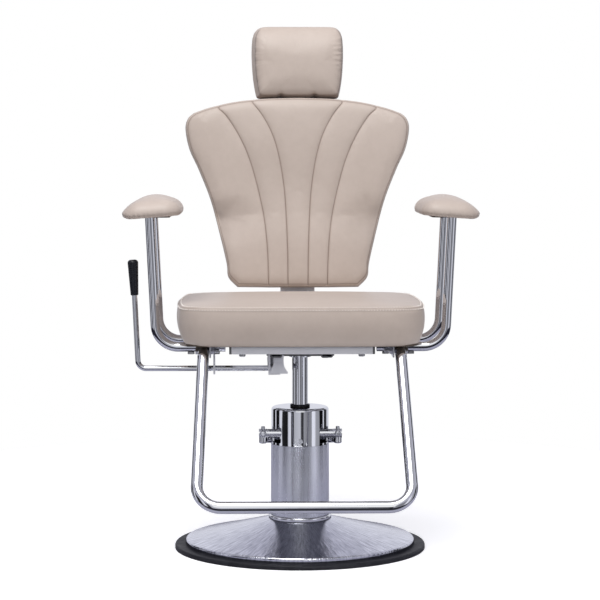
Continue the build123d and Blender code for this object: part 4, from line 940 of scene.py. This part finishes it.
def headrest():
    """A puffy headrest: a domed face gathered along its edge seam, and a soft side panel."""
    u, v = fractions(HEAD_ROWS, HEAD_COLUMNS)
    dome = (1 - np.abs(u) ** 6) * (1 - np.abs(v) ** np.where(v < 0, 7.0, 2.6))
    plan = patch(*head_edges(26.0))
    plan[..., 0] += head_skew(plan[..., 0], 0.0)
    face = np.dstack([plan, -1.6 + 4.0 * dome + head_wrap(plan[..., 1])])
    outline = flat_loop(head_edges(0.0))
    x, y = outline[:, 0], outline[:, 1]
    flank = np.clip((np.abs(x) - 92.0) / 8.0, 0, 1)
    # Painted shadow along the underside of the headrest's foot.
    underside_shade = 0.85 * np.clip((-y - 79.0) / 4.0, 0, 1)
    gather = np.sin(y * 0.85) + 0.6 * np.sin(y * 1.37 + 1.3)
    rings, ring_shades = [], []
    for k, (inset, height, ring_shade) in enumerate(HEAD_PROFILE):
        loop = flat_loop(head_edges(inset))
        sunk = max(0.0, 1 + height / 42.0)
        ring = lift(loop, height + head_wrap(loop[:, 1]) * sunk)
        ring[:, 0] += head_skew(ring[:, 0], height)
        near_seam = hill(height, -14.0, 9.0) * flank
        pucker = np.sin(ring[:, 1] * 0.52) * np.where(ring[:, 0] > 0, 1.0, 0.2)
        pucker *= flank * hill(ring[:, 1], 22.0, 38.0) * hill(height, -8.0, 6.0)
        ring[:, 0] *= 1 + gather * near_seam * 0.0055
        ring[:, 2] += 1.5 * pucker + gather * near_seam * 0.55
        rings.append(ring)
        ring_shades.append(np.maximum(ring_shade * flank, underside_shade * (k in HEAD_UNDERSIDE_SHADE_RINGS)))
    back = np.dstack([patch(*head_edges(10.0)), np.full_like(u, -HEAD_DEPTH + 0.4)])
    points, faces = closed_form(face, back, rings)
    foot = np.clip((-points[:, 1] - 73.0) / 10.0, 0, 1)
    points[:, 1] += 4.5 * foot * hill(np.abs(points[:, 0]), POST_X, 6.5)
    piece = make_piece("headrest_cover", head_pad().world(points), faces, LEATHER)
    grid = HEAD_ROWS * HEAD_COLUMNS
    painted_shade = on_rings(len(points), grid, ring_shades)
    set_painted_shade(piece, painted_shade)
    behind = np.arange(grid + HEAD_HELD_RING * len(outline), len(points))
    inflate(piece, np.concatenate([np.nonzero(painted_shade > HEAD_HELD_SHADE)[0], behind]), 2.5 * MM)
    upholster(piece, "headrest_cushion", "headrest")


def headrest_panel():
    """The covered board behind the headrest."""
    shape = (HEAD_ROWS, HEAD_COLUMNS)
    side = [(12.6, -61.6), (12.0, -63.0), (12.0, -67.0), (12.8, -69.4), (15.5, -71.0)]
    front = np.dstack([patch(*head_edges(16.0)), np.full(shape, -61.2)])
    rear = np.dstack([patch(*head_edges(22.0)), np.full(shape, -71.2)])
    rings = [lift(flat_loop(head_edges(inset)), height) for inset, height in side]
    rear_panel("headrest_rear_panel", head_pad(), (front, rear, rings), "headrest_board", "headrest")


# The armrest pads, in millimetres.
ARM_HALF = (64.0, 139.0)
ARM_BOWS = (1.0, 1.0)
ARM_CORNER = 40.0
ARM_LEAST_CORNER = 12.0
ARM_MIDDLE_Y = -10.0
ARM_UNDERSIDE = 742.0
ARM_COLUMNS, ARM_ROWS = 29, 51
ARM_DROOP = math.tan(math.radians(4.4))

# An armrest pad's side, as (drawn in from the outline, above the underside, painted shade at the hem and
# underneath).
ARM_PROFILE = [
    (20.0, 33.6, 0.0),
    (13.0, 29.6, 0.0),
    (7.4, 24.6, 0.0),
    (3.4, 19.4, 0.0),
    (1.0, 14.4, 0.0),
    (0.0, 9.8, 0.0),
    (0.6, 6.2, 0.2),
    (1.6, 4.6, 0.35),
    (1.2, 2.6, 0.0),
    (3.4, 0.8, 0.0),
    (8.0, 0.2, 0.4),
    (14.0, 1.4, 0.1),
]
ARM_STAPLED_RING = 8


def arm_edges(inset):
    half = (ARM_HALF[0] - inset, ARM_HALF[1] - inset)
    corner = max(ARM_CORNER - inset, ARM_LEAST_CORNER)
    return rounded_rectangle(half, corner, ARM_COLUMNS, ARM_ROWS, ARM_BOWS)


def arm_pad(side, label):
    """A domed armrest pad, drooping to its outer side, its cover gathered under the lower edge."""
    low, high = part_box(f"arm_pad_{label}")
    pad = Pad(((low[0] + high[0]) / 2 / MM, ARM_MIDDLE_Y, ARM_UNDERSIDE))
    u, v = fractions(ARM_ROWS, ARM_COLUMNS)
    dome = (1 - np.abs(u) ** 2.1) * (1 - np.abs(v) ** 3.4)
    face = np.dstack([patch(*arm_edges(27.0)), 36.5 + 10.5 * dome])
    outline = flat_loop(arm_edges(0.0))
    run = run_along(outline)
    gather = np.sin(run * 0.62) + 0.7 * np.sin(run * 1.03 + 0.8) + 0.4 * np.sin(run * 0.23)
    rings = []
    for inset, height, _ in ARM_PROFILE:
        ring = lift(flat_loop(arm_edges(inset)), height)
        near_hem = hill(height, 5.0, 5.0)
        ring[:, :2] *= (1 + gather * near_hem * 0.0075)[:, None]
        ring[:, 2] += gather * near_hem * 0.55
        rings.append(ring)
    back = np.dstack([patch(*arm_edges(20.0)), np.full_like(u, 1.6)])
    points, faces = closed_form(face, back, rings)
    outward = points[:, 0] * side
    points[:, 2] -= outward * ARM_DROOP
    points[:, 2] += np.clip(outward - 44.0, 0, None) ** 2 * 0.018 * np.clip(1 - points[:, 2] / 26.0, 0, 1)
    points[:, 2] -= np.clip(outward - 14.0, 0, None) ** 2 * 0.0018 * np.clip(points[:, 2] / 24.0, 0, 1)
    piece = make_piece(f"arm_pad_{label}_cover", pad.world(points), faces, LEATHER)
    grid, loop_size = ARM_ROWS * ARM_COLUMNS, len(outline)
    # Painted shade at the hem and under the pad.
    ring_shades = [np.full(loop_size, ring_shade) for _, _, ring_shade in ARM_PROFILE]
    set_painted_shade(piece, on_rings(len(points), grid, ring_shades))
    inflate(piece, np.arange(grid + ARM_STAPLED_RING * loop_size, len(points)), 4.0 * MM)
    upholster(piece, f"arm_pad_{label}", "seat")


# ----------------------------------------------------------------- finish ---
def dress(node, material):
    """Gives a carried-over node one material."""
    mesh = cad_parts[node].data
    mesh.materials.clear()
    mesh.materials.append(material)


def dress_frame():
    """Every carried-over node's finish."""
    tube_chrome, spun, sleeve = chrome(), spun_chrome(), satin_sleeve()
    zinc = satin_plate("zinc_plate", (0.50, 0.50, 0.50), (0.72, 0.72, 0.73), (0.22, 0.40))
    steel = satin_plate("bright_steel_plate", (0.70, 0.70, 0.73), (0.84, 0.84, 0.87), (0.26, 0.40))
    silver = satin_plate(
        "silvered_plate", (0.72, 0.72, 0.76), (0.84, 0.84, 0.88), (0.34, 0.46), metallic=0.35
    )
    plain = satin_plate("plain_machined_steel", (0.42, 0.42, 0.43), (0.56, 0.56, 0.57), (0.24, 0.42))
    iron = satin_plate("cast_iron_skin", (0.06, 0.06, 0.065), (0.11, 0.11, 0.115), (0.55, 0.8))
    finishes = {
        tube_chrome: ["pump_cap", "column_collar", "cross_shaft", "pedal_yoke", "yoke_set_screws",
                      "yoke_dome_screws", "ram", "footrest_bar", "lever_rod", "arm_tube_left_front",
                      "arm_tube_left_rear", "arm_tube_right_front", "arm_tube_right_rear",
                      "pedal_plate", "cap_screw"],
        spun: ["base_cover"],
        sleeve: ["pump_sleeve"],
        silver: ["seat_frame", "release_bracket", "lever_hanger", "back_bracket"],
        steel: ["footrest_lugs", "headrest_frame", "hinge_pin", "gas_rod", "crank_pin"],
        zinc: ["frame_bolts", "arm_bolts", "footrest_bolts", "swivel_bolts", "foot_bolts", "bracket_screws"],
        rubber(): ["base_rubber_ring", "pedal_pad", "wiper_seal", "piston_seal"],
        grip_plastic(): ["lever_grip"],
        frame_paint(): ["swivel_plate", "frame_bearers", "frame_side_bars", "gas_cylinder"],
        plywood(): ["seat_board", "back_board", "headrest_board", "arm_plates"],
        iron: ["ballast_plate"],
        bronze(): ["ram_gland", "thrust_washer"],
    }
    dressed = set()
    for material, nodes in finishes.items():
        for node in nodes:
            dress(node, material)
            dressed.add(node)
    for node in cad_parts:
        if node not in dressed:
            dress(node, plain)


# ------------------------------------------------------------------ studio --
FLOOR_SIDES = 64
FLOOR_REACH = 1.3
FLOOR_MIDDLE_Y = 0.5
FLOOR_COLOR = (0.90, 0.90, 0.91)


def make_stage():
    """A pale floor.  Chrome sees it nearly black in front of the base and grey further back."""
    rim = []
    for k in range(FLOOR_SIDES):
        turn = 2 * math.pi * k / FLOOR_SIDES
        rim.append((FLOOR_REACH * math.cos(turn), FLOOR_MIDDLE_Y + FLOOR_REACH * math.sin(turn), 0.0))
    mesh = bpy.data.meshes.new("floor")
    mesh.from_pydata(rim, [], [tuple(range(FLOOR_SIDES))])
    floor = bpy.data.objects.new("floor", mesh)
    bpy.context.collection.objects.link(floor)
    shader = Shader("white_floor", FLOOR_COLOR, roughness=0.7)
    mirrored_ray = shader.new("LightPath").outputs["Is Glossy Ray"]
    _, y, _ = shader.split(shader.place)
    reflected = shader.mix(shader.ramp(y, -0.60, -0.54), (0.01, 0.01, 0.015), (0.40, 0.40, 0.48))
    shader.drive("Base Color", shader.mix(mirrored_ray, FLOOR_COLOR, reflected))
    shader.drive("Emission Color", shader.mix(mirrored_ray, (1.0, 1.0, 1.0), (0.0, 0.0, 0.0)))
    shader.set("Emission Strength", 0.42)
    mesh.materials.append(shader.material)


# The room's uprights on each side of the chair, as (degrees round from the front, brightness).
LEFT_BANDS = [(0, 0.62), (24, 0.50), (27, 0.02), (36, 0.03), (39, 0.85), (49, 0.70), (52, 0.01), (76, 0.02),
              (79, 0.85), (91, 0.75), (94, 0.008), (112, 0.008), (114, 0.8), (118, 0.8), (120, 0.01),
              (138, 0.01), (142, 0.7), (180, 0.8)]
RIGHT_BANDS = [(0, 0.62), (4, 0.05), (12, 0.04), (15, 0.36), (30, 0.22), (46, 0.30), (49, 0.95), (62, 0.85),
               (65, 0.40), (82, 0.34), (85, 0.005), (103, 0.006), (105, 0.8), (110, 0.8), (112, 0.02),
               (130, 0.04), (136, 0.7), (180, 0.8)]

WHITE = (1.0, 1.0, 1.0)
NEAR_BLACK = (0.02, 0.02, 0.03)
BAND_TINT = (0.96, 0.97, 1.06)


def band_colors(nodes, source, stops):
    """A colour ramp of bands, from (place from 0 to 1, brightness)."""
    ramp = nodes.new("ValToRGB")
    nodes.link(source, ramp.inputs["Fac"])
    elements = ramp.color_ramp.elements
    while len(elements) < len(stops):
        elements.new(0.5)
    for element, (spot, level) in zip(elements, stops):
        element.position = spot
        element.color = (*(level * tint for tint in BAND_TINT), 1.0)
    return ramp.outputs["Color"]


def make_world():
    """A room for the chrome to reflect, plain white to the camera.

    Dark and bright uprights stand all round it, under a plain grey, with near black below.  A
    white card hangs in front, from just above eye level up.  Second reflections are dimmed.
    """
    world = bpy.data.worlds.new("room")
    world.use_nodes = True
    nodes = Nodes(world.node_tree)
    x, y, z = nodes.split(nodes.new("TexCoord").outputs["Generated"])
    front = nodes.math("MULTIPLY", y, -1.0)
    turn = nodes.ramp(nodes.math("ARCTAN2", x, front), -math.pi, math.pi)
    left_stops = [(1.0 - degrees / 180.0, level) for degrees, level in reversed(LEFT_BANDS)]
    right_stops = [(degrees / 180.0, level) for degrees, level in RIGHT_BANDS]
    left = band_colors(nodes, nodes.ramp(turn, 0.0, 0.5), left_stops)
    right = band_colors(nodes, nodes.ramp(turn, 0.5, 1.0), right_stops)
    color = nodes.mix(nodes.math("GREATER_THAN", turn, 0.5), left, right)
    color = nodes.mix(nodes.ramp(z, 0.40, 0.55, smooth=True), color, (0.50, 0.50, 0.58))
    color = nodes.mix(nodes.ramp(z, 0.66, 0.80, smooth=True), color, (0.42, 0.42, 0.46))
    ahead = nodes.math("LESS_THAN", nodes.math("ABSOLUTE", x), 0.28)
    facing = nodes.math("GREATER_THAN", front, -0.1)
    card = nodes.math("MULTIPLY", ahead, facing)
    card = nodes.math("MULTIPLY", card, nodes.ramp(z, 0.14, 0.22, smooth=True))
    color = nodes.mix(card, color, WHITE)
    color = nodes.mix(nodes.ramp(z, -0.24, -0.19, smooth=True), NEAR_BLACK, color)
    path = nodes.new("LightPath").outputs
    seen_twice = nodes.math("GREATER_THAN", path["Glossy Depth"], 1.5)
    color = nodes.mix(nodes.math("MULTIPLY", seen_twice, 0.86), color, NEAR_BLACK)
    color = nodes.mix(path["Is Camera Ray"], color, WHITE)
    nodes.link(color, world.node_tree.nodes["Background"].inputs["Color"])
    bpy.context.scene.world = world


def area_light(name, place, aim, size, power, mirrored=True):
    data = bpy.data.lights.new(name, "AREA")
    data.shape = "RECTANGLE"
    data.size, data.size_y = size
    data.energy = power
    light = bpy.data.objects.new(name, data)
    bpy.context.collection.objects.link(light)
    light.location = place
    light.rotation_euler = (Vector(aim) - Vector(place)).to_track_quat("-Z", "Y").to_euler()
    light.visible_glossy = mirrored


def make_lights():
    area_light("key", (-0.5, -1.0, 3.3), (0, 0, 0.5), (2.2, 1.6), 58.0)
    area_light("front_fill", (1.5, -4.0, 1.7), (0, 0, 0.6), (3.0, 1.6), 45.0, mirrored=False)


bpy.context.scene.view_settings.view_transform = "Standard"
make_camera()
make_stage()
make_world()
make_lights()
LEATHER = leather()
THREAD = thread()
dress_frame()
seat_cushion()
back_cushion()
back_panel()
headrest()
headrest_panel()
arm_pad(-1, "right")
arm_pad(1, "left")
